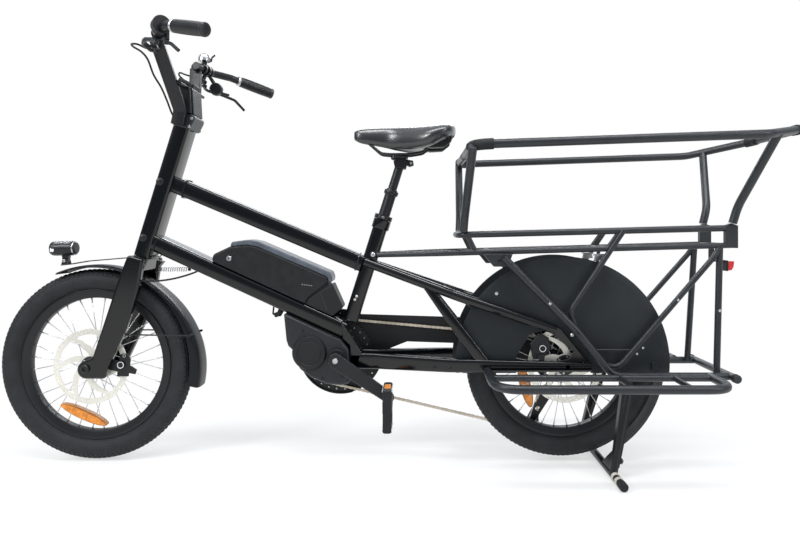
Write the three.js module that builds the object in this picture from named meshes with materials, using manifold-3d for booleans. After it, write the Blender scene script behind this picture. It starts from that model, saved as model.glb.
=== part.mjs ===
// Longtail cargo bike with a mid motor, a rack with passenger rails and a two-leg stand
// Millimetres, +Z up, +X to the rear, -Y to the rider's left; stations start under the seat clamp
import * as THREE from "three";
import { mergeVertices } from "three/addons/utils/BufferGeometryUtils.js";
import Module from "manifold-3d";

const wasm = await Module();
wasm.setup();

// Gaps, overruns and facet counts
const seatGap = 0.3;
const overrun = 4;
const weldTolerance = 0.001;
const wheelFacets = 30;

// Wheels and axles
const tyreRadius = 262;
const tyreWidth = 60;
const tyreHeight = 59;
const beadWidth = 26;
const rimDepth = 22;
const rimWidth = 32;
const rimFloorWidth = 16;
const spokeCount = 32;
const spokeRadius = 1.1;
const spokeCross = THREE.MathUtils.degToRad(50);
const wheelbase = 1274;
const rearLift = 6;
const rearAxleX = 499;
const rearAxleZ = 268;
const axleRadius = 6.5;
const hubBore = 7.2;
const hubRadius = 15;
const flangeRadius = 29;
const flangeThickness = 7;
const frontHubHalf = 48;
const frontFlangeY = 27;
const rearHubHalf = 67.5;
const rearFlangeY = 30;
const rotorRadius = 101.5;
const rotorBand = 15;
const rotorThickness = 2;
const rotorHole = 17;
const rotorHubRadius = 27;
const rotorArms = 6;
const frontRotorY = 42;
const rearRotorY = 57;

// Head, fork and steering
const headAngle = THREE.MathUtils.degToRad(73);
const forkRake = 39;
const headDepth = 44;
const headWidth = 72;
const headBottomZ = 556;
const headTopZ = 906;
const edgeRound = 5;
const steererRadius = 17;
const steererBore = 18.5;
const crownHeight = 34;
const crownDepth = 40;
const legInner = 49;
const legThickness = 22;
const dropTabRadius = 24;
const stemHeight = 40;
const stemDepth = 72;
const stemWidth = 84;
const springRadius = 5.5;
const springWire = 1;
const springTurns = 12;
const springStations = 8;
const springSides = 5;

// Handlebar
const armWidth = 30;
const armThickness = 12;
const armBaseY = 45;
const armTopY = 146;
const armTopZ = 1112;
const armTopBack = 232;
const barRadius = 11;
const barInnerY = 122;
const controlBack = 244;
const controlY = 214;
const controlZ = 1113;
const barBendBack = 291;
const barBendY = 262;
const barBendZ = 1109;
const barEndBack = 401;
const barEndY = 335;
const barEndZ = 1076;
const gripRadius = 16.5;
const gripLength = 126;
const gripWall = 4.5;
const bridgeWidth = 34;
const bridgeThickness = 8;
const displayWidth = 58;
const displayDepth = 46;
const displayThickness = 12;

// Frame tubes
const downTopBack = 175.2;
const downTopZ = 611;
const downEndZ = 371.92;
const downTopInset = 10;
const downFullLength = 572.15;
const downDepth = 43;
const downWidth = 70;
const downEndX = -80;
const topTubeBack = 245;
const topTubeZ = 764.3;
const topTubeEndZ = 559.85;
const topTubeEndInset = 55;
const topTubeDepth = 45;
const topTubeWidth = 50;
const seatTopX = 9;
const seatTopZ = 656;
const seatAngle = THREE.MathUtils.degToRad(72.5);
const seatTubeDepth = 40;
const seatTubeWidth = 40;
const seatTubeLength = 288;
const stayRadius = 13;
const stayStartX = -38;
const stayStartZ = 541;
const stayStartY = 18;
const stayFlareX = 220;
const stayEndX = 468;
const stayEndZ = 366;
const staySideY = 80;
const beamFrontX = -76;
const beamFrontTop = 296;
const beamFrontBottom = 252;
const beamRearTop = 280;
const beamRearBottom = 255;
const beamFrontY = 30;
const beamBendX = -12;
const beamFlareX = 190;
const beamSideY = 78;
const beamThickness = 20;
const strutTopX = 125;
const strutFootX = 278;
const strutTopHalf = 13;
const strutFootHalf = 20;
const strutThickness = 15;
const dropoutThickness = 8;
const dropoutInner = 74;
const dropoutReach = 62;

// Motor, crank and chain
const chainstay = 611;
const bracketZ = 283.5;
const motorHalf = 50;
const motorDriveHalf = 42;
const motorCoverRadius = 47;
const motorCoverDepth = 9;
const motorCoverX = -185;
const motorCoverZ = 298.7;
const spindleRadius = 12;
const spindleBore = 13.4;
const crankLength = 170;
const crankAngle = THREE.MathUtils.degToRad(-34.5);
const crankInnerY = 72;
const crankThickness = 14;
const crankBossRadius = 20;
const crankTipRadius = 15;
const pedalAxleRadius = 6;
const pedalLength = 106;
const pedalDepth = 28;
const pedalWidth = 94;
const pedalGap = 4;
const pedalDrop = 10;
const chainPitch = 12.7;
const chainringTeeth = 46;
const cogTeeth = 26;
const smallCogTeeth = 18;
const pulleyTeeth = 11;
const chainY = 48;
const chainWidth = 7;
const chainHalf = 3.8;
const chainWaist = 2.7;
const caseRadius = 120;
const caseWall = 3;
const caseInnerY = 54.5;
const caseRimDepth = 7;

// Saddle and posts
const postRadius = 15.8;
const postBore = 16.4;
const postAbove = 84;
const postBelow = 120;
const innerPostRadius = 12.4;
const innerPostBore = 13;
const innerAbove = 76;
const innerBelow = 108;
const saddleNoseX = -70;
const saddleLength = 280;
const saddleHalfWidth = 98;
const saddleTopZ = 905;
const saddleDepth = 46;
const railLift = 22;
const saddleRailRadius = 3.5;

// Rack
const railRadius = 8.5;
const lowRailRadius = 7.5;
const sideTubeRadius = 10;
const braceRadius = 7.5;
const braceY = 85.2;
const rackHalf = 75;
const rackFrontX = 214;
const rackRearX = 922;
const deckFrontZ = 615;
const deckRearZ = 633;
const lowRailFrontX = -15;
const lowRailFrontZ = 560;
const lowRailFrontY = 14;
const lowRailFlareX = 160;
const lowRailFlareZ = 566;
const lowRailRearX = 943;
const lowRailRearZ = 588;
const sideTubeY = 103;
const sideTubeZ = 248;
const lowCrossX = 920;
const rackCross = [300, 606];
const rackBraceX = 647;
const endBarX = 918;
const endBarReach = 140;
const uprightX = 903;
const gussetX = 315;
const gussetDrop = 34;

// Passenger rails
const passengerRadius = 11;
const passengerHalf = 235;
const passengerFrontX = 236;
const passengerKinkX = 945;
const passengerRearX = 1092;
const passengerRearHalf = 110;
const passengerFrontZ = 833;
const passengerKinkZ = 858;
const passengerRearZ = 888;

// Footrests and stand
const footInnerY = 128;
const footOuterY = 246;
const footFrontX = 288;
const footRearX = 800;
const footZ = 249;
const footRadius = 11;
const footCross = [620, 760];
const standPivotX = 643;
const standPivotZ = 205;
const standTopY = 120;
const standFootY = 150;
const standFootX = 598;
const standTipY = 235;
const standBarRadius = 12;
const standBarFacets = 8;
const standLegRadius = 10;

// Wheel guards and mudguards
const mudguardGap = 11;
const mudguardThickness = 3;
const mudguardHalf = 36;
const mudguardNear = 9;
const mudguardFar = 36;
const mudguardFrontHalf = 34;
const mudguardFrontThickness = 2.4;
const guardLip = 23;
const guardShift = 8;
const guardLift = 5;
const guardY = 62.9;
const guardThickness = 3.2;
const guardFloorZ = 248;

// Brake calipers, lights, lock and controls
const caliperInnerHalf = 11;
const caliperSlot = 4.4;
const caliperCapRadius = 11;
const lampReach = 89;
const lampPivotZ = 543;
const lampTailReach = 59;
const lampTailZ = 578;
const tailLightX = 961;
const tailLightZ = 529;
const tailLightRadius = 15;
const tailLightHalf = 24;
const lockAlong = 202;
const lockAbove = 27;
const lockRadius = 7;
const lockDepth = 14;
const batteryHalf = 38;
const batteryRound = 6;
const bandWall = 4.5;
const bellBand = 9;
const leverDrop = 41;
const leverPivotOut = 18;
const shifterBack = 259;
const shifterY = 213;
const shifterZ = 1063;
const springRearBack = 247;
const springFrontBack = 169;
const springZ = 519;
const lugWidth = 8;
const hoseRadius = 2.5;

// Sizes that follow from the ones above
const beadRadius = tyreRadius - tyreHeight;
const groundZ = rearAxleZ - rearLift - tyreRadius;
const frontAxleX = rearAxleX - wheelbase;
const behindFront = (x) => frontAxleX + x;
const downTopX = behindFront(downTopBack);
const downAngle = Math.atan2(downTopZ - downEndZ, downEndX - downTopX);
const topTubeX = behindFront(topTubeBack);
const topTubeEndX = seatTopX - topTubeEndInset;
const topTubeAngle = Math.atan2(topTubeZ - topTubeEndZ, topTubeEndX - topTubeX);
const armTopX = behindFront(armTopBack);
const controlX = behindFront(controlBack);
const barBendX = behindFront(barBendBack);
const barEndX = behindFront(barEndBack);
const springRearX = behindFront(springRearBack);
const springFrontX = behindFront(springFrontBack);
const lampPivotX = behindFront(-lampReach);
const shifterX = behindFront(shifterBack);
const mudguardRadius = tyreRadius + mudguardGap;
const guardRadius = tyreRadius + guardLip;
const guardX = rearAxleX - guardShift;
const guardZ = rearAxleZ + guardLift;
const dropoutRearX = rearAxleX + dropoutReach;
const frontAxleZ = groundZ + tyreRadius * Math.cos(Math.PI / wheelFacets);
const bracketX = rearAxleX - chainstay;
const sides = [-1, 1];
const sideNames = { "-1": "left", 1: "right" };
const steerX = (z) => frontAxleX + forkRake / Math.sin(headAngle) + (z - frontAxleZ) / Math.tan(headAngle);

// Finishes
const gloss = { color: 0x0b0d12, roughness: 0.18, metalness: 0.2 };
const satin = { color: 0x1b1d21, roughness: 0.5, metalness: 0.3 };
const plastic = { color: 0x15171a, roughness: 0.6, metalness: 0 };
const rubber = { color: 0x1a1b1d, roughness: 0.85, metalness: 0 };
const silver = { color: 0xb9bcc0, roughness: 0.3, metalness: 0.9 };
const greyBlue = { color: 0x2a3038, roughness: 0.5, metalness: 0.1 };
const red = { color: 0xa01018, roughness: 0.3, metalness: 0 };
const leather = { color: 0x141518, roughness: 0.55, metalness: 0 };

const bike = new THREE.Group();
const v = (x, y, z) => new THREE.Vector3(x, y, z);

// Adds one named piece with a material of its own
function piece(name, geometry, finish) {
  const mesh = new THREE.Mesh(geometry, new THREE.MeshStandardMaterial(finish));
  mesh.name = name;
  bike.add(mesh);
}

// Turns a closed geometry into a solid that can be joined and cut
function solidOf(geometry) {
  const bare = geometry.clone();
  bare.deleteAttribute("normal");
  bare.deleteAttribute("uv");
  const merged = mergeVertices(bare, weldTolerance);
  const triVerts = new Uint32Array(merged.index.array);
  const make = () =>
    new wasm.Manifold(
      new wasm.Mesh({ numProp: 3, vertProperties: merged.attributes.position.array, triVerts })
    );
  const solid = make();
  if (solid.volume() > 0) return solid;
  for (let i = 0; i < triVerts.length; i += 3) {
    [triVerts[i + 1], triVerts[i + 2]] = [triVerts[i + 2], triVerts[i + 1]];
  }
  return make();
}

// Turns a solid back into a geometry
function geometryOf(solid) {
  const mesh = solid.getMesh();
  const geometry = new THREE.BufferGeometry();
  geometry.setAttribute("position", new THREE.BufferAttribute(new Float32Array(mesh.vertProperties), 3));
  geometry.setIndex(new THREE.BufferAttribute(new Uint32Array(mesh.triVerts), 1));
  return geometry;
}

const joinSolids = (geometries) => geometries.map(solidOf).reduce((a, b) => a.add(b));
const join = (geometries) => geometryOf(joinSolids(geometries));
const largest = (solid) => solid.decompose().sort((a, b) => b.volume() - a.volume())[0];
const cutSolids = (base, tools) => tools.map(solidOf).reduce((a, b) => a.subtract(b), base);
const cut = (geometries, tools) => geometryOf(cutSolids(joinSolids(geometries), tools));

// A side-view outline given thickness from one y to another, edges rounded by bevel
function plate(points, yFrom, yTo, bevel = 0, holes = []) {
  const shape = new THREE.Shape(points.map(([x, z]) => new THREE.Vector2(x, z)));
  shape.holes = holes.map((hole) => new THREE.Path(hole.map(([x, z]) => new THREE.Vector2(x, z))));
  const depth = Math.abs(yTo - yFrom) - 2 * bevel;
  const geometry = new THREE.ExtrudeGeometry(shape, {
    depth,
    bevelEnabled: bevel > 0,
    bevelThickness: bevel,
    bevelSize: bevel,
    bevelOffset: -bevel,
    bevelSegments: 1,
    steps: 1,
  });
  geometry.rotateX(Math.PI / 2);
  geometry.translate(0, Math.max(yFrom, yTo) - bevel, 0);
  return geometry;
}

// A plan-view outline given height from one z to another
function slab(points, zFrom, zTo) {
  const shape = new THREE.Shape(points.map(([x, y]) => new THREE.Vector2(x, y)));
  const geometry = new THREE.ExtrudeGeometry(shape, { depth: zTo - zFrom, bevelEnabled: false });
  geometry.translate(0, 0, zFrom);
  return geometry;
}

// Points of an arc in the side view
function arc(cx, cz, radius, from, to, steps) {
  const points = [];
  for (let i = 0; i <= steps; i++) {
    const angle = from + ((to - from) * i) / steps;
    points.push([cx + radius * Math.cos(angle), cz + radius * Math.sin(angle)]);
  }
  return points;
}

const ring = (cx, cz, radius, steps) => arc(cx, cz, radius, 0, 2 * Math.PI, steps).slice(0, -1);

// A path through corner points with round bends, stations only where it bends
class BentPath extends THREE.Curve {
  constructor(corners, bend, bendSteps) {
    super();
    this.stations = [];
    corners.forEach((corner, i) => {
      if (i === 0 || i === corners.length - 1) {
        const other = corners[i === 0 ? 1 : i - 1];
        const tangent = i === 0 ? other.clone().sub(corner) : corner.clone().sub(other);
        this.stations.push({ at: corner, tangent: tangent.normalize() });
        return;
      }
      const before = corners[i - 1].clone().sub(corner);
      const after = corners[i + 1].clone().sub(corner);
      const turn = Math.PI - before.angleTo(after);
      const reach = Math.min(bend * Math.tan(turn / 2), before.length() / 2, after.length() / 2);
      const start = corner.clone().add(before.setLength(reach));
      const end = corner.clone().add(after.setLength(reach));
      for (let k = 0; k <= bendSteps; k++) {
        const t = k / bendSteps;
        const at = start.clone().multiplyScalar((1 - t) * (1 - t));
        at.addScaledVector(corner, 2 * t * (1 - t)).addScaledVector(end, t * t);
        const tangent = corner.clone().sub(start).lerp(end.clone().sub(corner), t).normalize();
        this.stations.push({ at, tangent });
      }
    });
  }
  between(u, key) {
    const last = this.stations.length - 1;
    const i = Math.min(Math.floor(u * last + weldTolerance), last - 1);
    return this.stations[i][key].clone().lerp(this.stations[i + 1][key], u * last - i);
  }
  getPoint(u, target = new THREE.Vector3()) {
    return target.copy(this.between(u, "at"));
  }
  getPointAt(u, target) {
    return this.getPoint(u, target);
  }
  getTangentAt(u, target = new THREE.Vector3()) {
    return target.copy(this.between(u, "tangent")).normalize();
  }
}

// A round tube along corner points
function tube(corners, radius, { bend = 40, bendSteps = 3, around = 8 } = {}) {
  const path = new BentPath(corners, bend, bendSteps);
  const circle = new THREE.Shape(
    ring(0, 0, radius, around).map(([x, y]) => new THREE.Vector2(x, y))
  );
  return new THREE.ExtrudeGeometry(circle, { steps: path.stations.length - 1, extrudePath: path });
}

// Places a geometry whose length lies along its own y between two points
function between(geometry, from, to) {
  const turn = new THREE.Quaternion().setFromUnitVectors(v(0, 1, 0), to.clone().sub(from).normalize());
  return geometry.applyQuaternion(turn).translate(from.x, from.y, from.z);
}

// A round bar between two points with a radius at each end
function rod(from, to, radiusFrom, radiusTo = radiusFrom, around = 8) {
  const length = from.distanceTo(to);
  const bar = new THREE.CylinderGeometry(radiusTo, radiusFrom, length, around);
  return between(bar.translate(0, length / 2, 0), from, to);
}

// A profile of radius and distance turned about the line from one point to another
function turned(profile, from, to, around = 16, start = 0) {
  const points = profile.map(([r, t]) => new THREE.Vector2(r, t));
  return between(new THREE.LatheGeometry(points, around, start), from, to);
}

// A flat bar between two points, its width kept near a given direction
function flatBar(from, to, width, thickness, widthWay) {
  const along = to.clone().sub(from);
  const length = along.length();
  along.normalize();
  const across = widthWay.clone().addScaledVector(along, -along.dot(widthWay)).normalize();
  const through = along.clone().cross(across);
  const bar = new THREE.BoxGeometry(width, length, thickness).translate(0, length / 2, 0);
  bar.applyMatrix4(new THREE.Matrix4().makeBasis(across, along, through));
  return bar.translate(from.x, from.y, from.z);
}

// Wheels
function tyre(name, x, z) {
  const half = tyreWidth / 2;
  const rise = tyreRadius - beadRadius;
  const profile = [
    [beadRadius + seatGap, -beadWidth / 2],
    [beadRadius + rise * 0.42, -half],
    [tyreRadius - rise * 0.17, -half * 0.8],
    [tyreRadius, -half * 0.3],
  ];
  const mirrored = profile.map(([r, y]) => [r, -y]).reverse();
  const closed = [...profile, ...mirrored, profile[0]];
  piece(name, turned(closed, v(x, 0, z), v(x, 1, z), wheelFacets, Math.PI / wheelFacets), rubber);
}

function rim(name, x, z) {
  const floor = beadRadius - rimDepth;
  const closed = [
    [floor, -rimFloorWidth / 2],
    [beadRadius, -rimWidth / 2],
    [beadRadius, rimWidth / 2],
    [floor, rimFloorWidth / 2],
    [floor, -rimFloorWidth / 2],
  ];
  piece(name, turned(closed, v(x, 0, z), v(x, 1, z), wheelFacets, Math.PI / wheelFacets), satin);
}

function hubWithSpokes(name, x, z, half, flangeY) {
  const closed = [
    [hubBore, -half],
    [hubRadius, -half],
    [hubRadius, -flangeY - flangeThickness / 2],
    [flangeRadius, -flangeY - flangeThickness / 2],
    [flangeRadius, -flangeY + flangeThickness / 2],
    [hubRadius, -flangeY + flangeThickness],
    [hubRadius, flangeY - flangeThickness],
    [flangeRadius, flangeY - flangeThickness / 2],
    [flangeRadius, flangeY + flangeThickness / 2],
    [hubRadius, flangeY + flangeThickness / 2],
    [hubRadius, half],
    [hubBore, half],
    [hubBore, -half],
  ];
  const parts = [turned(closed, v(x, 0, z), v(x, 1, z), 8)];
  const reach = (beadRadius - rimDepth) * Math.cos(Math.PI / wheelFacets) - seatGap;
  for (let k = 0; k < spokeCount; k++) {
    const side = k % 2 ? 1 : -1;
    const lean = Math.floor(k / 2) % 2 ? 1 : -1;
    const rimAngle = (2 * Math.PI * (k + 0.5)) / spokeCount;
    const hubAngle = rimAngle + lean * spokeCross;
    const root = flangeRadius - flangeThickness / 4;
    const flangeSide = side * flangeY + (lean * flangeThickness) / 4;
    parts.push(
      tube(
        [
          v(x + root * Math.cos(hubAngle), flangeSide, z + root * Math.sin(hubAngle)),
          v(x + reach * Math.cos(rimAngle), side * spokeRadius * 2, z + reach * Math.sin(rimAngle)),
        ],
        spokeRadius,
        { around: 3 }
      )
    );
  }
  piece(name, join(parts), silver);
}

// Brake rotor with curved arms, windows between them and slots in the swept band
function rotor(name, x, z, y) {
  const holes = [ring(x, z, rotorHole, 8)];
  const inner = rotorRadius - rotorBand;
  const step = (2 * Math.PI) / rotorArms;
  const twist = step * 0.6;
  for (let k = 0; k < rotorArms; k++) {
    const outerFrom = k * step + step * 0.1;
    const innerFrom = k * step + step * 0.2 - twist;
    const outerSide = arc(x, z, inner, outerFrom, outerFrom + step * 0.8, 2);
    const innerSide = arc(x, z, rotorHubRadius, innerFrom + step * 0.5, innerFrom, 1);
    holes.push([...outerSide, ...innerSide]);
    const slotAngle = k * step + step * 0.5;
    const low = arc(x, z, inner + rotorBand * 0.25, slotAngle - 0.03, slotAngle + 0.03, 1);
    const high = arc(x, z, inner + rotorBand * 0.75, slotAngle + 0.06, slotAngle, 1);
    holes.push([...low, ...high]);
  }
  const half = rotorThickness / 2;
  piece(name, plate(ring(x, z, rotorRadius, 24), -y - half, -y + half, 0, holes), silver);
}

tyre("tyre_front", frontAxleX, frontAxleZ);
rim("rim_front", frontAxleX, frontAxleZ);
hubWithSpokes("hub_front", frontAxleX, frontAxleZ, frontHubHalf, frontFlangeY);
rotor("rotor_front", frontAxleX, frontAxleZ, frontRotorY);
tyre("tyre_rear", rearAxleX, rearAxleZ);
rim("rim_rear", rearAxleX, rearAxleZ);
hubWithSpokes("hub_rear", rearAxleX, rearAxleZ, rearHubHalf, rearFlangeY);
rotor("rotor_rear", rearAxleX, rearAxleZ, rearRotorY);

// Points given along the down tube and above its upper face
const downAlong = [Math.cos(downAngle), -Math.sin(downAngle)];
const downUp = [Math.sin(downAngle), Math.cos(downAngle)];
const onDown = (s, h) => [
  downTopX + s * downAlong[0] + h * downUp[0],
  downTopZ + s * downAlong[1] + h * downUp[1],
];
const downLength = (downEndX - downTopX) / Math.cos(downAngle);
// Stations of motor and battery, drawn for the full length and kept in proportion to the tube
const onTube = (s, h) => onDown((s * downLength) / downFullLength, h);
const seatAlong = [Math.cos(seatAngle), Math.sin(seatAngle)];
const onSeat = (s, y = 0) => v(seatTopX + s * seatAlong[0], y, seatTopZ + s * seatAlong[1]);
const onHead = (z, y = 0, out = 0) =>
  v(steerX(z) + out * Math.sin(headAngle), y, z - out * Math.cos(headAngle));

// Main frame members, each grown by a gap when they serve as a cutter
function headTube(grow) {
  const half = headDepth / 2 + grow;
  const corner = (z, out) => {
    const p = onHead(z, 0, out);
    return [p.x, p.z];
  };
  const outline = [corner(headBottomZ, -half), corner(headBottomZ, half)];
  outline.push(corner(headTopZ, half), corner(headTopZ, -half));
  return plate(outline, -headWidth / 2 - grow, headWidth / 2 + grow, edgeRound);
}

function stay(side, grow) {
  const corners = [
    v(stayStartX, side * stayStartY, stayStartZ),
    v(stayFlareX, side * staySideY, stayStartZ + (stayEndZ - stayStartZ) * 0.52),
    v(stayEndX, side * staySideY, stayEndZ),
  ];
  return tube(corners, stayRadius + grow, { bend: 300, bendSteps: 3 });
}

function beam(side, grow) {
  const half = beamThickness / 2 + grow;
  const outline = [
    [beamFrontX, beamFrontBottom - grow],
    [dropoutRearX, beamRearBottom - grow],
    [dropoutRearX, beamRearTop + grow],
    [beamFrontX, beamFrontTop + grow],
  ];
  const plan = [
    [beamFrontX, side * beamFrontY - half],
    [beamBendX, side * beamFrontY - half],
    [beamFlareX, side * beamSideY - half],
    [dropoutRearX, side * beamSideY - half],
    [dropoutRearX, side * beamSideY + half],
    [beamFlareX, side * beamSideY + half],
    [beamBendX, side * beamFrontY + half],
    [beamFrontX, side * beamFrontY + half],
  ];
  const low = beamFrontBottom - overrun;
  const side3d = solidOf(plate(outline, -beamSideY - half * 2, beamSideY + half * 2));
  return geometryOf(side3d.intersect(solidOf(slab(plan, low, beamFrontTop + overrun))));
}

function strut(side, grow) {
  const topZ = stayStartZ + ((stayEndZ - stayStartZ) * (strutTopX - stayStartX)) / (stayEndX - stayStartX);
  const outline = [
    [strutTopX - strutTopHalf - grow, topZ],
    [strutTopX + strutTopHalf + grow, topZ],
    [strutFootX + strutFootHalf + grow, beamRearTop - 2],
    [strutFootX - strutFootHalf - grow, beamRearTop - 2],
  ];
  const half = strutThickness / 2 + grow;
  const low = [[strutTopX - 30, 58], [215, 74], [strutFootX + 40, beamSideY]];
  const plan = [
    ...low.map(([x, y]) => [x, side * y - half]),
    ...low.reverse().map(([x, y]) => [x, side * y + half]),
  ];
  const wide = solidOf(plate(outline, -beamSideY - 20, beamSideY + 20));
  return geometryOf(wide.intersect(solidOf(slab(plan, beamRearTop - overrun, topZ + overrun))));
}

function frameMembers(grow) {
  const members = [headTube(grow)];
  const topDrop = Math.tan(topTubeAngle);
  const topRise = topTubeDepth / Math.cos(topTubeAngle) + grow;
  const topEndX = topTubeEndX;
  const topLine = (x) => topTubeZ - (x - topTubeX) * topDrop;
  const topStartX = topTubeX - 10;
  members.push(
    plate(
      [
        [topStartX, topLine(topStartX) - topRise],
        [topEndX, topLine(topEndX) - topRise],
        [topEndX, topLine(topEndX) + grow],
        [topStartX, topLine(topStartX) + grow],
      ],
      -topTubeWidth / 2 - grow,
      topTubeWidth / 2 + grow,
      edgeRound
    )
  );
  members.push(
    plate(
      [
        onDown(0, grow),
        onDown(-downTopInset, -downDepth - grow),
        onDown(downLength, -downDepth - grow),
        onDown(downLength - downDepth / 2, grow),
      ],
      -downWidth / 2 - grow,
      downWidth / 2 + grow,
      edgeRound
    )
  );
  const seatTube = new THREE.BoxGeometry(
    seatTubeDepth + 2 * grow,
    seatTubeLength,
    seatTubeWidth + 2 * grow
  ).translate(0, seatTubeLength / 2, 0);
  members.push(between(seatTube, onSeat(-seatTubeLength), onSeat(0)));
  for (const side of sides) {
    members.push(stay(side, grow), beam(side, grow), strut(side, grow));
  }
  return members;
}

// Hooked plate that joins stay and beam round the rear axle
function dropout(side) {
  const outline = [
    [rearAxleX - 46, rearAxleZ + 92],
    [rearAxleX - 30, rearAxleZ + 105],
    [rearAxleX - 17, rearAxleZ + 101],
    [rearAxleX + 57, rearAxleZ + 9],
    [rearAxleX + 66, rearAxleZ - 6],
    [rearAxleX + 61, beamRearBottom],
    [rearAxleX - 32, beamRearBottom],
    [rearAxleX - 30, rearAxleZ + 14],
    [rearAxleX + 2, rearAxleZ + 20],
    [rearAxleX + 18, rearAxleZ + 38],
  ];
  const from = side * dropoutInner;
  return plate(outline, from, from + side * dropoutThickness);
}

function mainFrame() {
  const rear = [onDown(downLength - 24, 0), [beamFrontX + 30, beamFrontTop + 2]];
  rear.push([beamFrontX + 18, beamFrontBottom], [beamFrontX, beamFrontBottom + 12]);
  rear.push([beamFrontX - 2, beamFrontTop + 20], onDown(downLength, -downDepth + 2));
  const shell = plate(rear, -beamFrontY - 10, beamFrontY + 10, edgeRound);
  const parts = [...frameMembers(0), shell];
  const axleEnd = dropoutInner + dropoutThickness + 7;
  for (const side of sides) {
    parts.push(dropout(side));
    parts.push(
      rod(
        v(rearAxleX, side * (dropoutInner + dropoutThickness - 1), rearAxleZ),
        v(rearAxleX, side * axleEnd, rearAxleZ),
        axleRadius * 1.7,
        axleRadius * 1.4,
        12
      )
    );
  }
  parts.push(
    rod(
      v(rearAxleX, -axleEnd + 2, rearAxleZ),
      v(rearAxleX, axleEnd - 2, rearAxleZ),
      axleRadius,
      axleRadius,
      10
    )
  );
  const bridgeX = stayFlareX - 40;
  const bridgeZ = stayStartZ + (stayEndZ - stayStartZ) * 0.44;
  parts.push(rod(v(bridgeX, -staySideY + 14, bridgeZ), v(bridgeX, staySideY - 14, bridgeZ), 8, 8));
  parts.push(springLug());
  parts.push(
    rod(
      v(bridgeX, 0, bridgeZ),
      v(rearAxleX - mudguardRadius * 0.84, 0, rearAxleZ + mudguardRadius * 0.52),
      6,
      6,
      6
    )
  );
  const tools = [
    rod(onHead(headBottomZ - overrun), onHead(headTopZ + overrun), steererBore, steererBore, 16),
    rod(onSeat(-seatTubeLength + 40), onSeat(overrun), postBore, postBore, 12),
    mudguardBand(seatGap),
  ];
  const whole = cutSolids(joinSolids(parts), tools);
  piece("main_frame", geometryOf(largest(whole)), gloss);
}

// Small lug under the down tube that holds the rear hook of the steering spring
function springLug() {
  const top = springZ + 30;
  return plate(
    [
      [springRearX, springZ - lugWidth / 2],
      [springRearX + lugWidth, springZ - lugWidth / 2],
      [springRearX + lugWidth, top],
      [springRearX, top],
    ],
    -lugWidth / 2,
    lugWidth / 2
  );
}

// Rack
const lowRailAt = (x) =>
  lowRailFlareZ + ((lowRailRearZ - lowRailFlareZ) * (x - lowRailFlareX)) / (lowRailRearX - lowRailFlareX);
function rearBlock(s, grow) {
  const block = [
    [916 - grow, 582 - grow],
    [948 + grow, 580 - grow],
    [948 + grow, 640 + grow],
    [930, 646 + grow],
    [916 - grow, 640 + grow],
  ];
  return plate(block, s * (rackHalf - 9 - grow), s * (rackHalf + 9 + grow));
}
const deckAt = (x, s) =>
  v(x, s * rackHalf, deckFrontZ + ((deckRearZ - deckFrontZ) * (x - rackFrontX)) / (rackRearX - rackFrontX));
const lowAt = (x, s) => v(x, s * rackHalf, lowRailAt(x));

// Deck loop, low rails, uprights and cross rods
function rackTubes() {
  const post = braceRadius - 1;
  const corners = [
    deckAt(rackRearX, -1),
    deckAt(rackFrontX, -1),
    deckAt(rackFrontX, 1),
    deckAt(rackRearX, 1),
  ];
  const parts = [tube(corners, railRadius, { bendSteps: 2 })];
  for (const s of sides) {
    parts.push(
      tube(
        [
          v(lowRailFrontX, s * lowRailFrontY, lowRailFrontZ),
          lowAt(lowRailFlareX, s),
          lowAt(lowRailRearX, s),
        ],
        lowRailRadius,
        { bend: 200, bendSteps: 1, around: 6 }
      )
    );
    parts.push(rod(deckAt(rackFrontX + 22, s), lowAt(rackFrontX + 45, s), post, post, 6));
    parts.push(rod(deckAt(rackBraceX - 7, s), lowAt(rackCross[1], s), post, post, 6));
    const gusset = [
      [gussetX - 39, lowRailFlareZ],
      [gussetX + 39, lowRailFlareZ],
      [gussetX + 27, lowRailFlareZ - gussetDrop],
      [gussetX - 11, lowRailFlareZ - gussetDrop],
    ];
    parts.push(plate(gusset, s * (rackHalf + 4), s * (rackHalf + 18)));
    const uprightFoot = v(uprightX - 15, s * (rackHalf + 14), sideTubeZ);
    parts.push(rod(lowAt(uprightX, s), uprightFoot, braceRadius + 1, braceRadius + 1, 6));
    parts.push(rearBlock(s, 0));
  }
  for (const x of [...rackCross, lowCrossX]) parts.push(rod(lowAt(x, -1), lowAt(x, 1), post, post, 6));
  return parts;
}

// Bar across the rear ends of the two side tubes
const endBar = () =>
  rod(v(endBarX, -endBarReach, sideTubeZ), v(endBarX, endBarReach, sideTubeZ), sideTubeRadius, sideTubeRadius, 6);

function rack() {
  const parts = [...rackTubes(), endBar()];
  const hanger = v(rackCross[1] - 6, 0, rearAxleZ + mudguardRadius * 0.93);
  parts.push(rod(v(rackCross[1], 0, lowAt(rackCross[1], 1).z), hanger, 5, 5, 6));
  const tools = [...frameMembers(seatGap), mudguardBand(seatGap)];
  for (const s of sides) {
    parts.push(...rackSide(s));
    tools.push(dropoutGrown(s));
  }
  piece("rack", geometryOf(largest(cutSolids(joinSolids(parts), tools))), satin);
}

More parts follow.
